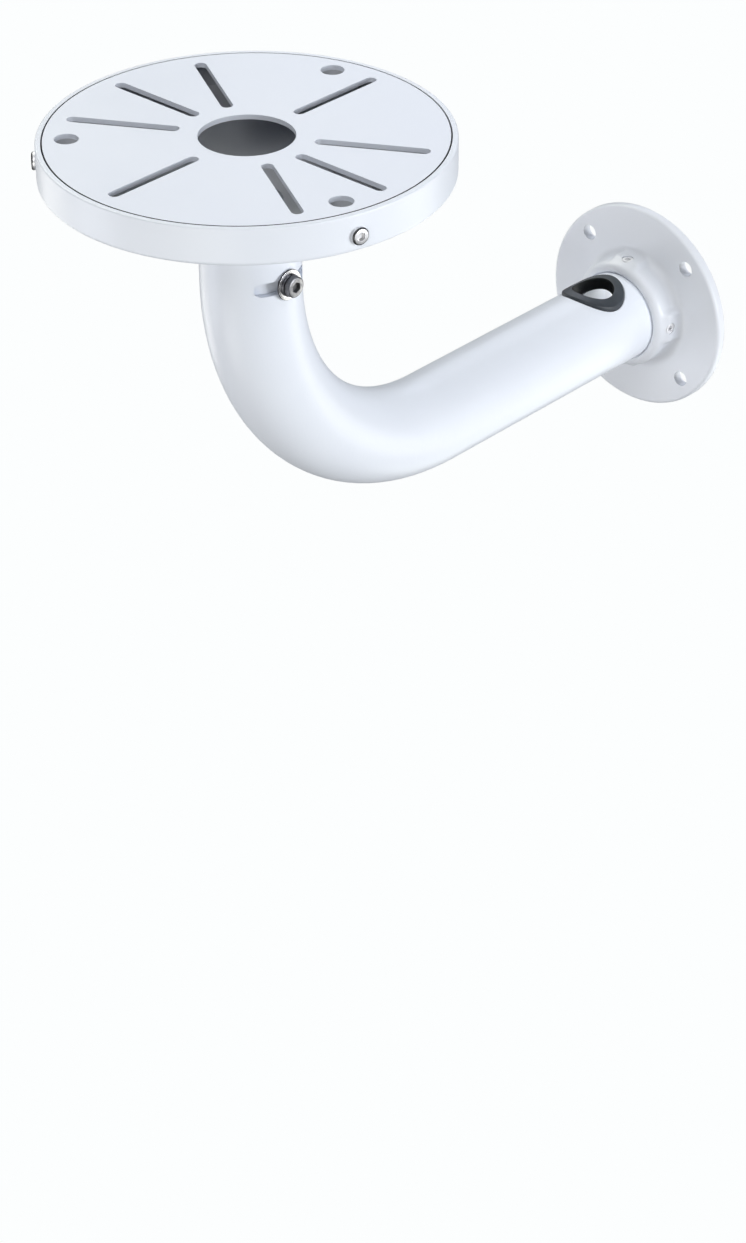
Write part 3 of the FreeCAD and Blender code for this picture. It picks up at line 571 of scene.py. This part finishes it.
def wall_flange_tree(sizes, material):
    """Cast flange: disc, filleted collar with four soft pads, tapped holes and fixing holes."""
    nodes, size = start_tree("Wall flange", sizes)
    rim, thick, edge = size["Flange Radius"], size["Thickness"], size["Edge Round"]
    collar, top, mouth = size["Collar Radius"], size["Collar Height"], size["Mouth Round"]
    foot, back, cable = size["Foot Round"], size["Back Round"], size["Cable Radius"]
    socket, lead, seat = size["Socket Radius"], size["Socket Lead"], size["Seat"]
    foot_centre = nodes.plus(collar, foot)
    foot_top = nodes.plus(thick, foot)
    wall_top = nodes.minus(top, mouth)

    def between(low, high, share):
        return nodes.maths("MULTIPLY_ADD", nodes.minus(high, low), share, low)

    profile = [(cable, 0.0), (between(cable, rim, 0.02), 0.0), (between(cable, rim, 0.5), 0.0),
               (between(cable, rim, 0.96), 0.0)]
    profile += quarter_round(nodes, back, nodes.minus(rim, back), back, -90, 2)
    profile += [(rim, between(back, nodes.minus(thick, edge), 0.15)),
                (rim, between(back, nodes.minus(thick, edge), 0.85))]
    profile += quarter_round(nodes, edge, nodes.minus(rim, edge), nodes.minus(thick, edge), 0, 7)
    profile += [(between(foot_centre, nodes.minus(rim, edge), share), thick) for share in (0.97, 0.5, 0.04)]
    fillet = quarter_round(nodes, foot, foot_centre, foot_top, 180, 9)
    profile += fillet[::-1]
    profile += [(collar, between(foot_top, wall_top, share)) for share in
                (0.08, 0.25, 0.42, 0.55, 0.65, 0.73, 0.8, 0.86, 0.91, 0.96)]
    profile += quarter_round(nodes, mouth, nodes.minus(collar, mouth), wall_top, 0, 8)
    profile += [(between(nodes.plus(socket, lead), nodes.minus(collar, mouth), 0.8), top),
                (nodes.plus(socket, lead), top), (socket, nodes.minus(top, lead)),
                (socket, between(seat, nodes.minus(top, lead), 0.97)),
                (socket, between(seat, nodes.minus(top, lead), 0.03)),
                (socket, seat), (cable, seat), (cable, nodes.times(seat, 0.9)), (cable, nodes.times(seat, 0.1))]
    cast = swell_into_pads(nodes, revolved(nodes, profile, FLANGE_SIDES), size)

    index = nodes.add("GeometryNodeInputIndex").outputs[0]
    quarter = nodes.times(index, math.pi / 2)
    reach = nodes.times(size["Pad Face"], 0.5)
    tap = tilt(nodes, drill_bit(nodes, size["Screw Hole"], reach), (0.0, math.pi / 2, 0.0))
    tap = shift(nodes, tap, x=nodes.plus(socket, nodes.times(reach, 0.4)), z=size["Screw Height"])
    taps = set_round(nodes, tap, 4, nodes.vector(z=quarter))
    bit = shift(nodes, drill_bit(nodes, size["Wall Hole"], nodes.times(thick, 4.0)), x=size["Wall Hole Circle"])
    bits = set_round(nodes, bit, 4, nodes.vector(z=nodes.plus(quarter, math.pi / 4)))
    drills = nodes.add("GeometryNodeRealizeInstances", {"Geometry": join(nodes, taps, bits)}).outputs[0]
    drilled = smooth_but_edges(nodes, cut_away(nodes, cast, drills))
    end_tree(nodes, tilt(nodes, drilled, (math.pi / 2, 0.0, 0.0)), material)
    return nodes


# A slot's end is round but for a hair, which keeps its points apart. A lug's inner end is nearly round
SLOT_END_SHARE = 0.499
LUG_END_SHARE = 0.92


def mounting_plate_tree(sizes, material):
    """Punched plate with its radial slots, and three cored lugs behind it, drawn with its open face down."""
    nodes, size = start_tree("Mounting plate", sizes)
    sheet, tall = size["Sheet"], size["Lug Height"]

    def block(inner, outer, width, corner, steps):
        """A rounded oblong between two distances from the axis, along X."""
        shape = nodes.add("GeometryNodeCurvePrimitiveQuadrilateral",
                          {"Width": nodes.minus(outer, inner), "Height": width}).outputs[0]
        shape = nodes.add("GeometryNodeFilletCurve", {"Curve": shape, "Radius": corner, "Count": steps,
                                                      "Limit Radius": True}, mode="POLY").outputs[0]
        return shift(nodes, shape, x=nodes.times(nodes.plus(inner, outer), 0.5))

    def spread(shape, count, turn):
        ring = set_round(nodes, shape, count, nodes.vector(z=turn))
        return nodes.add("GeometryNodeRealizeInstances", {"Geometry": ring}).outputs[0]

    index = nodes.add("GeometryNodeInputIndex").outputs[0]
    quarter = nodes.times(index, math.pi / 2)
    side = nodes.times(nodes.maths("FLOOR", nodes.times(nodes.plus(index, 1.0), 0.5)), math.pi)
    swing = nodes.minus(1.0, nodes.times(nodes.maths("MODULO", index, 2.0), 2.0))
    lean = nodes.plus(side, nodes.times(swing, size["Slot Lean"]))
    third = nodes.plus(size["Lug Angle"], nodes.times(index, FULL_TURN / 3))

    rim = circle_of(nodes, size["Plate Radius"], PLATE_RIM_SIDES)
    cable_hole = circle_of(nodes, size["Cable Hole Radius"], CABLE_HOLE_SIDES)
    slot_end = nodes.times(size["Slot Width"], SLOT_END_SHARE)
    slot = block(size["Slot Inner"], size["Slot Outer"], size["Slot Width"], slot_end, SLOT_END_STEPS)
    slots = join(nodes, spread(slot, 4, quarter), spread(slot, 4, lean))
    bore = shift(nodes, circle_of(nodes, size["Lug Bore"], LUG_BORE_SIDES), x=size["Lug Circle"])
    bores = spread(bore, 3, third)

    place_x = nodes.split(nodes.add("GeometryNodeInputPosition").outputs[0])[0]
    inner_end = nodes.maths("LESS_THAN", place_x, 0.0)
    end_round = nodes.times(size["Lug Radius"], LUG_END_SHARE)
    lug_corner = nodes.plus(size["Lug Corner"], nodes.times(inner_end, end_round))
    lug_inner = nodes.minus(size["Lug Circle"], size["Lug Radius"])
    lug = block(lug_inner, size["Lug End"], nodes.times(size["Lug Radius"], 2.0), lug_corner, LUG_END_STEPS)
    lugs = spread(lug, 3, third)

    through = join(nodes, cable_hole, slots)
    solid = join(
        nodes,
        wall_of(nodes, join(nodes, rim, through), sheet),
        wall_of(nodes, bores, tall),
        shift(nodes, wall_of(nodes, lugs, nodes.minus(tall, sheet)), z=sheet),
        lid_of(nodes, 0.0, rim, through, bores),
        lid_of(nodes, sheet, rim, through, lugs),
        lid_of(nodes, tall, lugs, bores),
    )
    solid = nodes.add("GeometryNodeMergeByDistance", {"Geometry": solid, "Distance": JOIN_WITHIN}).outputs[0]
    end_tree(nodes, shift(nodes, solid, y=size["Axis Y"], z=size["Face Z"]), material)
    return nodes


# Finishes


# Painted shade: near black on the plate's edge, for the gap at the cup's rim
GAP_SHADE_COLOUR = (0.035, 0.037, 0.04, 1)
# Painted shade: mid grey for hollows, the cup's inside and the plate's lugs
PAINTED_HOLLOW_SHADE = (0.53, 0.545, 0.575, 1)
# Painted shade in the clamp screws' sockets
SOCKET_SHADE = (0.24, 0.24, 0.25, 1)
# Painted shade on the rims of steel heads and washers, near black and grey
EDGE_SHADE_BLACK = (0.075, 0.075, 0.08, 1)
EDGE_SHADE_GREY = (0.17, 0.17, 0.18, 1)
# A height below every piece of steel, for painted shade that covers its whole side
WHOLE_HEIGHT = -10
# Widths of the patches and depths of the waves in the finishes
COAT_CLOUD, COAT_GRAIN, COAT_GRAIN_DEPTH = 46, 0.35, 0.0025
STEEL_STAIN, STEEL_RING_DEPTH = 1.3, 0.006
RUBBER_BLOOM, RUBBER_GRAIN, RUBBER_GRAIN_DEPTH = 7, 0.3, 0.02
FLOOR_MARK = 400


def new_finish(name, **shader_inputs):
    material = bpy.data.materials.new(name)
    material.use_nodes = True
    nodes = Nodes(material.node_tree)
    shader = material.node_tree.nodes["Principled BSDF"]
    for label, value in shader_inputs.items():
        shader.inputs[label.replace("_", " ")].default_value = value
    return material, nodes, shader


def object_place(nodes):
    return nodes.add("ShaderNodeTexCoord").outputs["Object"]


def noise(nodes, place, cell, detail=2.0, rough=0.5):
    """Noise whose patches are about one cell wide, in millimetres."""
    inputs = {"Vector": place, "Scale": 1 / (cell * MM), "Detail": detail, "Roughness": rough}
    return nodes.add("ShaderNodeTexNoise", inputs).outputs["Fac"]


def spread_to(nodes, value, low, high, start=0.3, end=0.7):
    inputs = {"Value": value, "From Min": start, "From Max": end, "To Min": low, "To Max": high}
    return nodes.add("ShaderNodeMapRange", inputs).outputs[0]


def blend_colour(nodes, factor, first, second):
    node = nodes.add("ShaderNodeMix", None, data_type="RGBA")
    colours = [socket for socket in node.inputs if socket.type == "RGBA"]
    nodes.feed(node.inputs[0], factor)
    nodes.feed(colours[0], first)
    nodes.feed(colours[1], second)
    return next(socket for socket in node.outputs if socket.type == "RGBA")


def bump(nodes, height, depth, normal=None):
    inputs = {"Height": height, "Distance": depth * MM, "Strength": 1.0}
    if normal is not None:
        inputs["Normal"] = normal
    return nodes.add("ShaderNodeBump", inputs).outputs[0]


def from_neck(nodes, place):
    """Distance from the neck's axis."""
    x, y, z = nodes.split(place)
    y = nodes.plus(y, REACH * MM)
    return nodes.maths("SQRT", nodes.plus(nodes.times(x, x), nodes.times(y, y)))


def painted_gap_shade_on_plate_edge(nodes, place):
    """Where the plate's edge is painted near black as shade, for the gap between plate and cup."""
    return nodes.maths("GREATER_THAN", from_neck(nodes, place), GAP_SHADE_FROM * MM)


def shaded_lugs_of_plate(nodes, place):
    """Where the plate's lugs, behind its sheet, are painted mid grey as shade."""
    return nodes.maths("GREATER_THAN", nodes.split(place)[2], PLATE_SIZES["Face Z"] + PLATE_SIZES["Sheet"])


def shaded_inside_of_cup(nodes, place):
    """Where the cup's inside is painted grey as shade: under its crown arc and within its wall."""
    off_neck, level = from_neck(nodes, place), nodes.split(place)[2]
    across = nodes.minus(off_neck, CROWN_CENTRE[0] * MM)
    height = nodes.minus(level, (CROWN_CENTRE[1] - DROP) * MM)
    reach = nodes.maths("SQRT", nodes.plus(nodes.times(across, across), nodes.times(height, height)))
    under_crown = nodes.maths("LESS_THAN", reach, (CROWN_ARC - CUP_WALL / 2) * MM)
    within = nodes.maths("LESS_THAN", off_neck, (CUP_RADIUS - CUP_WALL / 2) * MM)
    above_rim = nodes.maths("GREATER_THAN", level, -(DROP - UNSHADED_RIM) * MM)
    return nodes.times(nodes.times(under_crown, within), above_rim)


def powder_coat(name, light, dark, roughness, peel_cell=1.7, peel_depth=0.022, elsewhere=()):
    """Satin powder coat: orange peel, fine grain, faint clouding and a duller patch here and there.

    elsewhere holds masks of painted shade, each with the colour that is painted there.
    """
    material, nodes, shader = new_finish(name, IOR=1.5, Coat_Weight=0.12, Coat_Roughness=0.22)
    place = object_place(nodes)
    clouds = noise(nodes, place, COAT_CLOUD, detail=3.0)
    grain = noise(nodes, place, COAT_GRAIN, detail=1.0)
    peel = noise(nodes, place, peel_cell, detail=2.0, rough=0.45)
    tone = nodes.plus(nodes.times(clouds, 0.75), nodes.times(grain, 0.25))
    colour = blend_colour(nodes, spread_to(nodes, tone, 0.0, 1.0), dark, light)
    for mask, other_colour in elsewhere:
        colour = blend_colour(nodes, mask(nodes, place), colour, other_colour)
    nodes.feed(shader.inputs["Base Color"], colour)
    dull = nodes.plus(spread_to(nodes, clouds, -0.03, 0.05), spread_to(nodes, grain, -0.02, 0.02))
    nodes.feed(shader.inputs["Roughness"], nodes.plus(dull, roughness))
    waves = bump(nodes, peel, peel_depth)
    nodes.feed(shader.inputs["Normal"], bump(nodes, grain, COAT_GRAIN_DEPTH, waves))
    return material


def turned_steel(name, bright, dim, roughness, groove=0.16, socket=None, edge_shade=None):
    """Bright steel with the rings that a lathe leaves about each piece's own axis, and a few stains.

    socket is (radius, floor, top) of a broached socket, which is painted dark as shade. The last argument is
    (radius, height, colour): beyond that radius and above that height that colour is painted as shade on the rim.
    """
    material, nodes, shader = new_finish(name, Metallic=1.0)
    own = nodes.add("ShaderNodeAttribute", None, attribute_name="own_place").outputs["Vector"]
    x, y, z = nodes.split(own)
    radius = nodes.maths("SQRT", nodes.plus(nodes.times(x, x), nodes.times(y, y)))
    rings = noise(nodes, nodes.vector(radius, z, 0.0), groove, detail=2.0)
    stains = noise(nodes, object_place(nodes), STEEL_STAIN, detail=4.0, rough=0.6)
    colour = blend_colour(nodes, spread_to(nodes, stains, 0.0, 1.0, 0.35, 0.65), dim, bright)
    if socket:
        across, floor, top = (value * MM for value in socket)
        within = nodes.maths("LESS_THAN", radius, across)
        below = nodes.maths("LESS_THAN", z, top)
        above = nodes.maths("GREATER_THAN", z, floor)
        shaded_socket = nodes.times(within, nodes.times(below, above))
        colour = blend_colour(nodes, shaded_socket, colour, SOCKET_SHADE)
    if edge_shade:
        outside = nodes.maths("GREATER_THAN", radius, edge_shade[0] * MM)
        above = nodes.maths("GREATER_THAN", z, edge_shade[1] * MM)
        colour = blend_colour(nodes, nodes.times(outside, above), colour, edge_shade[2])
    nodes.feed(shader.inputs["Base Color"], colour)
    mixed = nodes.plus(spread_to(nodes, rings, -0.06, 0.08), spread_to(nodes, stains, 0.05, -0.04))
    nodes.feed(shader.inputs["Roughness"], nodes.plus(mixed, roughness))
    nodes.feed(shader.inputs["Normal"], bump(nodes, rings, STEEL_RING_DEPTH))
    return material


def moulded_rubber(name):
    """Matt black rubber with a fine spark-eroded grain, greyer where it has been handled; the bore is painted near
    black as shade.
    """
    material, nodes, shader = new_finish(name, IOR=1.52)
    place = object_place(nodes)
    grain = noise(nodes, place, RUBBER_GRAIN, detail=3.0, rough=0.6)
    bloom = noise(nodes, place, RUBBER_BLOOM, detail=3.0)
    handled = blend_colour(nodes, spread_to(nodes, bloom, 0.0, 1.0),
                           (0.024, 0.030, 0.038, 1), (0.044, 0.053, 0.065, 1))
    x, y, z = nodes.split(place)
    y = nodes.minus(y, SADDLE_Y * MM)
    from_axis = nodes.maths("SQRT", nodes.plus(nodes.times(x, x), nodes.times(y, y)))
    # Painted shade: the inside of the bore is near black
    shaded_bore = nodes.maths("LESS_THAN", from_axis, (SADDLE_BORE + 0.12) * MM)
    nodes.feed(shader.inputs["Base Color"], blend_colour(nodes, shaded_bore, handled, (0.004, 0.005, 0.006, 1)))
    nodes.feed(shader.inputs["Roughness"], spread_to(nodes, bloom, 0.46, 0.62))
    nodes.feed(shader.inputs["Normal"], bump(nodes, grain, RUBBER_GRAIN_DEPTH))
    return material


def studio_floor(name):
    """Pale lit floor with very faint rolling marks."""
    material, nodes, shader = new_finish(name, Roughness=0.8, Emission_Color=(*BACKDROP_COLOUR, 1),
                                         Emission_Strength=FLOOR_GLOW)
    rolling = noise(nodes, object_place(nodes), FLOOR_MARK, detail=3.0)
    colour = blend_colour(nodes, spread_to(nodes, rolling, 0.0, 1.0), (0.80, 0.81, 0.82, 1), (0.83, 0.84, 0.85, 1))
    nodes.feed(shader.inputs["Base Color"], colour)
    return material


# The rubber saddle


def arc_points(centre, radius, start, end, steps):
    """Points on a quarter round in the rubber's cut face."""
    result = []
    for i in range(steps + 1):
        angle = math.radians(start + (end - start) * i / steps)
        result.append((centre[0] + radius * math.cos(angle), centre[1] + radius * math.sin(angle)))
    return result


def saddle_section():
    """(distance from the opening's axis, radius of the bar that the point lies on) round the cut face."""
    outer_round, bore_round, lip_round = 0.45, 0.4, 0.6
    out = SADDLE_OUTSIDE
    points = arc_points((SADDLE_HOLE - outer_round, out - outer_round), outer_round, 0, 90, 7)
    points += [(11.4, out - 0.03)]
    points += arc_points((SADDLE_BORE + bore_round, out - bore_round), bore_round, 90, 180, 6)
    points += [(SADDLE_BORE, 19.2), (SADDLE_BORE, 17.4)]
    points += arc_points((SADDLE_BORE + lip_round, SADDLE_LIP_INSIDE + lip_round), lip_round, 180, 270, 4)
    points += [(12.4, SADDLE_LIP_INSIDE)]
    points += arc_points((SADDLE_LIP - lip_round, SADDLE_LIP_INSIDE + lip_round), lip_round, 270, 360, 4)
    points += arc_points((SADDLE_LIP - lip_round, SADDLE_LIP_OUTSIDE - lip_round), lip_round, 0, 90, 4)
    points += [(SADDLE_HOLE, SADDLE_LIP_OUTSIDE), (SADDLE_HOLE, 19.4)]
    return points


def make_grommet(material):
    """Rubber saddle in the underside of the arm, its face and lip bent to the tube."""
    section = saddle_section()
    shape = bmesh.new()
    rings = []
    for i in range(SADDLE_STEPS):
        angle = FULL_TURN * i / SADDLE_STEPS
        ring = []
        for distance, bar in section:
            x = distance * math.cos(angle)
            y = distance * math.sin(angle)
            below = max(math.sqrt(max(bar * bar - x * x, 0)), SADDLE_LEAST_DEPTH)
            ring.append(shape.verts.new((x * MM, (SADDLE_Y + y) * MM, -below * MM)))
        rings.append(ring)
    count = len(section)
    for i, ring in enumerate(rings):
        after = rings[(i + 1) % SADDLE_STEPS]
        for k in range(count):
            face = shape.faces.new((ring[k], ring[(k + 1) % count], after[(k + 1) % count], after[k]))
            face.smooth = True
    bmesh.ops.recalc_face_normals(shape, faces=shape.faces)
    return as_piece("grommet", shape, material)


def as_piece(name, shape, material):
    mesh = bpy.data.meshes.new(name)
    shape.to_mesh(mesh)
    shape.free()
    mesh.materials.append(material)
    piece = bpy.data.objects.new(name, mesh)
    bpy.context.scene.collection.objects.link(piece)
    return piece


def outward(piece):
    """Turn every face of a closed mesh outwards."""
    shape = bmesh.new()
    shape.from_mesh(piece.data)
    bmesh.ops.recalc_face_normals(shape, faces=shape.faces)
    shape.to_mesh(piece.data)
    shape.free()


def soften_edges(piece, width, segments=2):
    """Round the edges of a punched or cast piece and keep its flats flat."""
    for face in piece.data.polygons:
        face.use_smooth = True
    modifier = piece.modifiers.new("EdgeRound", "BEVEL")
    modifier.width = width
    modifier.segments = segments
    modifier.limit_method = "ANGLE"
    modifier.angle_limit = math.radians(40)
    modifier.harden_normals = True


# Dressing the frame


def paint_node(node, material):
    """Give a CAD node its finish."""
    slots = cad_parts[node].data.materials
    slots.clear()
    slots.append(material)


def stand_for(piece, body, slot, *nodes):
    """Put a finished piece in the place of the CAD nodes that it stands for."""
    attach(piece, body)
    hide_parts(*nodes)


def coat_tube():
    light, dark = (0.80, 0.835, 0.90, 1), (0.775, 0.81, 0.88, 1)
    paint_node("arm_tube", powder_coat("tube_paint_coat", light, dark, 0.36))


def coat_cup():
    light, dark = (0.79, 0.825, 0.885, 1), (0.765, 0.80, 0.865, 1)
    # Painted shade: the cup's inside is grey
    coat = powder_coat("cup_paint_coat", light, dark, 0.38, elsewhere=((shaded_inside_of_cup, PAINTED_HOLLOW_SHADE),))
    paint_node("cup_housing", coat)


def fit_flange():
    # Painted shade: this coat is greyer than the tube's, for the flange face turned from the lights
    light, dark = (0.745, 0.77, 0.82, 1), (0.72, 0.745, 0.80, 1)
    coat = powder_coat("flange_paint_coat", light, dark, 0.40, peel_cell=1.5, peel_depth=0.03)
    flange = grow("flange", wall_flange_tree(FLANGE_SIZES, coat), FLANGE_SIZES)
    outward(flange)
    stand_for(flange, "arm", "flange_paint", "wall_flange")


def fit_plate():
    light, dark = (0.79, 0.825, 0.90, 1), (0.765, 0.80, 0.88, 1)
    # Painted shade: grey on the lugs, near black on the plate's edge
    coat = powder_coat("plate_paint_coat", light, dark, 0.40, peel_cell=2.1, peel_depth=0.018,
                       elsewhere=((shaded_lugs_of_plate, PAINTED_HOLLOW_SHADE), (painted_gap_shade_on_plate_edge, GAP_SHADE_COLOUR)))
    plate = grow("plate", mounting_plate_tree(PLATE_SIZES, coat), PLATE_SIZES)
    outward(plate)
    soften_edges(plate, PLATE_EDGE_ROUND)
    stand_for(plate, "cup", "plate_paint", "mounting_plate")


def fit_grommet():
    stand_for(make_grommet(moulded_rubber("grommet_rubber_moulded")), "arm", "grommet_rubber", "cable_grommet")


def numbered(name, count):
    return [f"{name}_{i}" for i in range(1, count + 1)]


def fit_rim_screws():
    # Painted shade: near black on the rim of each head
    steel = turned_steel("screw_steel_turned", (0.84, 0.84, 0.85, 1), (0.66, 0.66, 0.68, 1), 0.38,
                         edge_shade=(2.9, 0.9, EDGE_SHADE_BLACK))
    screws = grow("rim_screws", headed_screw_tree("Rim screws", RIM_SCREW_SIZES, steel), RIM_SCREW_SIZES)
    stand_for(screws, "cup", "screw_steel", *numbered("rim_screw", 3))


def fit_clamp_screws():
    # Painted shade: dark grey in the socket and grey on the knurled side of each head
    steel = turned_steel("clamp_steel_turned", (0.40, 0.40, 0.41, 1), (0.22, 0.22, 0.235, 1), 0.36,
                         socket=(2.4, 0.85, 2.4), edge_shade=(3.85, WHOLE_HEIGHT, EDGE_SHADE_GREY))
    screws = grow("clamp_screws", headed_screw_tree("Clamp screws", CLAMP_SCREW_SIZES, steel), CLAMP_SCREW_SIZES)
    stand_for(screws, "cup", "screw_steel", *numbered("clamp_screw", 2))


def fit_flat_washers():
    # Painted shade: near black on each washer's outer edge
    steel = turned_steel("washer_steel_turned", (0.88, 0.88, 0.89, 1), (0.72, 0.72, 0.74, 1), 0.24, groove=0.3,
                         edge_shade=(6.1, WHOLE_HEIGHT, EDGE_SHADE_BLACK))
    washers = grow("flat_washers", flat_washer_tree(FLAT_WASHER_SIZES, steel), FLAT_WASHER_SIZES)
    stand_for(washers, "cup", "washer_steel", *numbered("flat_washer", 2))


def fit_spring_washers():
    steel = turned_steel("spring_steel_blued", (0.22, 0.22, 0.24, 1), (0.14, 0.14, 0.155, 1), 0.34)
    washers = grow("spring_washers", spring_washer_tree(SPRING_WASHER_SIZES, steel), SPRING_WASHER_SIZES)
    stand_for(washers, "cup", "washer_steel", *numbered("spring_washer", 2))


def fit_grub_screws():
    steel = turned_steel("grub_steel_plated", (0.92, 0.92, 0.93, 1), (0.84, 0.84, 0.86, 1), 0.6)
    screws = grow("grub_screws", grub_screw_tree(GRUB_SCREW_SIZES, steel), GRUB_SCREW_SIZES)
    stand_for(screws, "arm", "grub_steel", *numbered("grub_screw", 4))


def dress():
    coat_tube()
    coat_cup()
    fit_flange()
    fit_plate()
    fit_grommet()
    fit_rim_screws()
    fit_clamp_screws()
    fit_flat_washers()
    fit_spring_washers()
    fit_grub_screws()


# The studio


CAMERA_PLACE = (-0.84255, -1.07855, -0.70846)
CAMERA_RIGHT = (-0.73331, 0.67986, 0.00648)
CAMERA_UP = (0.36395, 0.40058, -0.84088)
CAMERA_LENS = 99.0
FLOOR_Z = -2.6
FLOOR_HALF_WIDTH = 1.3
FLOOR_GLOW = 0.62

# Softboxes: direction from the bracket counted right, up and towards the camera, watts and colour
STUDIO_CENTRE = (0, -0.17, -0.08)
SOFTBOX_DISTANCE = 1.9
SOFTBOX_SIZE = 0.95
SOFTBOXES = (
    ("key_right", (0.89, -0.20, 0.41), 30, (0.95, 0.97, 1)),
    ("front", (-0.26, 0.24, 0.94), 11, (1, 1, 1)),
    ("overhead", (-0.38, 0.91, -0.20), 15.5, (0.98, 1, 0.94)),
    ("low_front_left", (-0.34, -0.66, 0.67), 9, (1, 1, 0.95)),
    ("low_left", (-0.64, -0.76, 0.11), 7.8, (1, 1, 1)),
    ("left", (-0.95, -0.30, -0.11), 8.3, (0.92, 0.94, 1)),
    ("top_back", (0.15, 0.90, -0.41), 6, (0.82, 0.86, 1)),
    ("right_back", (0.86, -0.25, -0.42), 6, (1, 0.99, 0.93)),
    ("left_back", (-0.74, -0.07, -0.67), 6, (1, 0.99, 0.94)),
    ("low_right_back", (0.56, -0.42, -0.72), 4.8, (0.92, 0.97, 0.95)),
)
BACKDROP_COLOUR = (0.975, 0.99, 0.992)
BACKDROP_GLOW = 0.12


def camera_axes():
    """Right, up and back as the camera sees them."""
    right, up = Vector(CAMERA_RIGHT), Vector(CAMERA_UP)
    return right, up, right.cross(up)


def make_camera():
    """The photograph's viewing angle: from below and in front of the bracket, held upside down."""
    camera = bpy.data.objects.new("camera", bpy.data.cameras.new("camera"))
    camera.data.lens = CAMERA_LENS
    camera.data.clip_end = 20
    turn = Matrix(camera_axes()).transposed().to_4x4()
    camera.matrix_world = Matrix.Translation(CAMERA_PLACE) @ turn
    bpy.context.scene.collection.objects.link(camera)
    bpy.context.scene.camera = camera


def make_floor():
    shape = bmesh.new()
    bmesh.ops.create_grid(shape, x_segments=8, y_segments=8, size=FLOOR_HALF_WIDTH)
    bmesh.ops.translate(shape, verts=shape.verts, vec=(0, 0, FLOOR_Z))
    floor = as_piece("floor", shape, studio_floor("floor_paint"))


def make_softbox(name, direction, power, colour):
    """A square softbox that faces the bracket. Its direction counts right, up and towards the camera."""
    right, up, back = camera_axes()
    away = (right * direction[0] + up * direction[1] + back * direction[2]).normalized()
    light = bpy.data.lights.new(name, "AREA")
    light.shape = "SQUARE"
    light.size = SOFTBOX_SIZE
    light.energy = power
    light.color = colour
    lamp = bpy.data.objects.new(name, light)
    lamp.visible_camera = False
    lamp.location = Vector(STUDIO_CENTRE) + away * SOFTBOX_DISTANCE
    lamp.rotation_mode = "QUATERNION"
    lamp.rotation_quaternion = (-away).to_track_quat("-Z", "Y")
    bpy.context.scene.collection.objects.link(lamp)


def make_backdrop():
    """White paper behind the bracket, which itself gives only a little light."""
    world = bpy.data.worlds.new("studio")
    world.use_nodes = True
    nodes = Nodes(world.node_tree)
    paper = world.node_tree.nodes["Background"]
    paper.inputs["Color"].default_value = (*BACKDROP_COLOUR, 1)
    glow = nodes.add("ShaderNodeBackground", {"Color": (*BACKDROP_COLOUR, 1), "Strength": BACKDROP_GLOW})
    seen = nodes.add("ShaderNodeLightPath").outputs["Is Camera Ray"]
    mix = nodes.add("ShaderNodeMixShader", {0: seen, 1: glow.outputs[0], 2: paper.outputs[0]})
    nodes.feed(world.node_tree.nodes["World Output"].inputs["Surface"], mix.outputs[0])
    bpy.context.scene.world = world


def light_studio():
    bpy.context.scene.view_settings.view_transform = "Standard"
    for name, direction, power, colour in SOFTBOXES:
        make_softbox(name, direction, power, colour)
    make_backdrop()


dress()
make_camera()
make_floor()
light_studio()
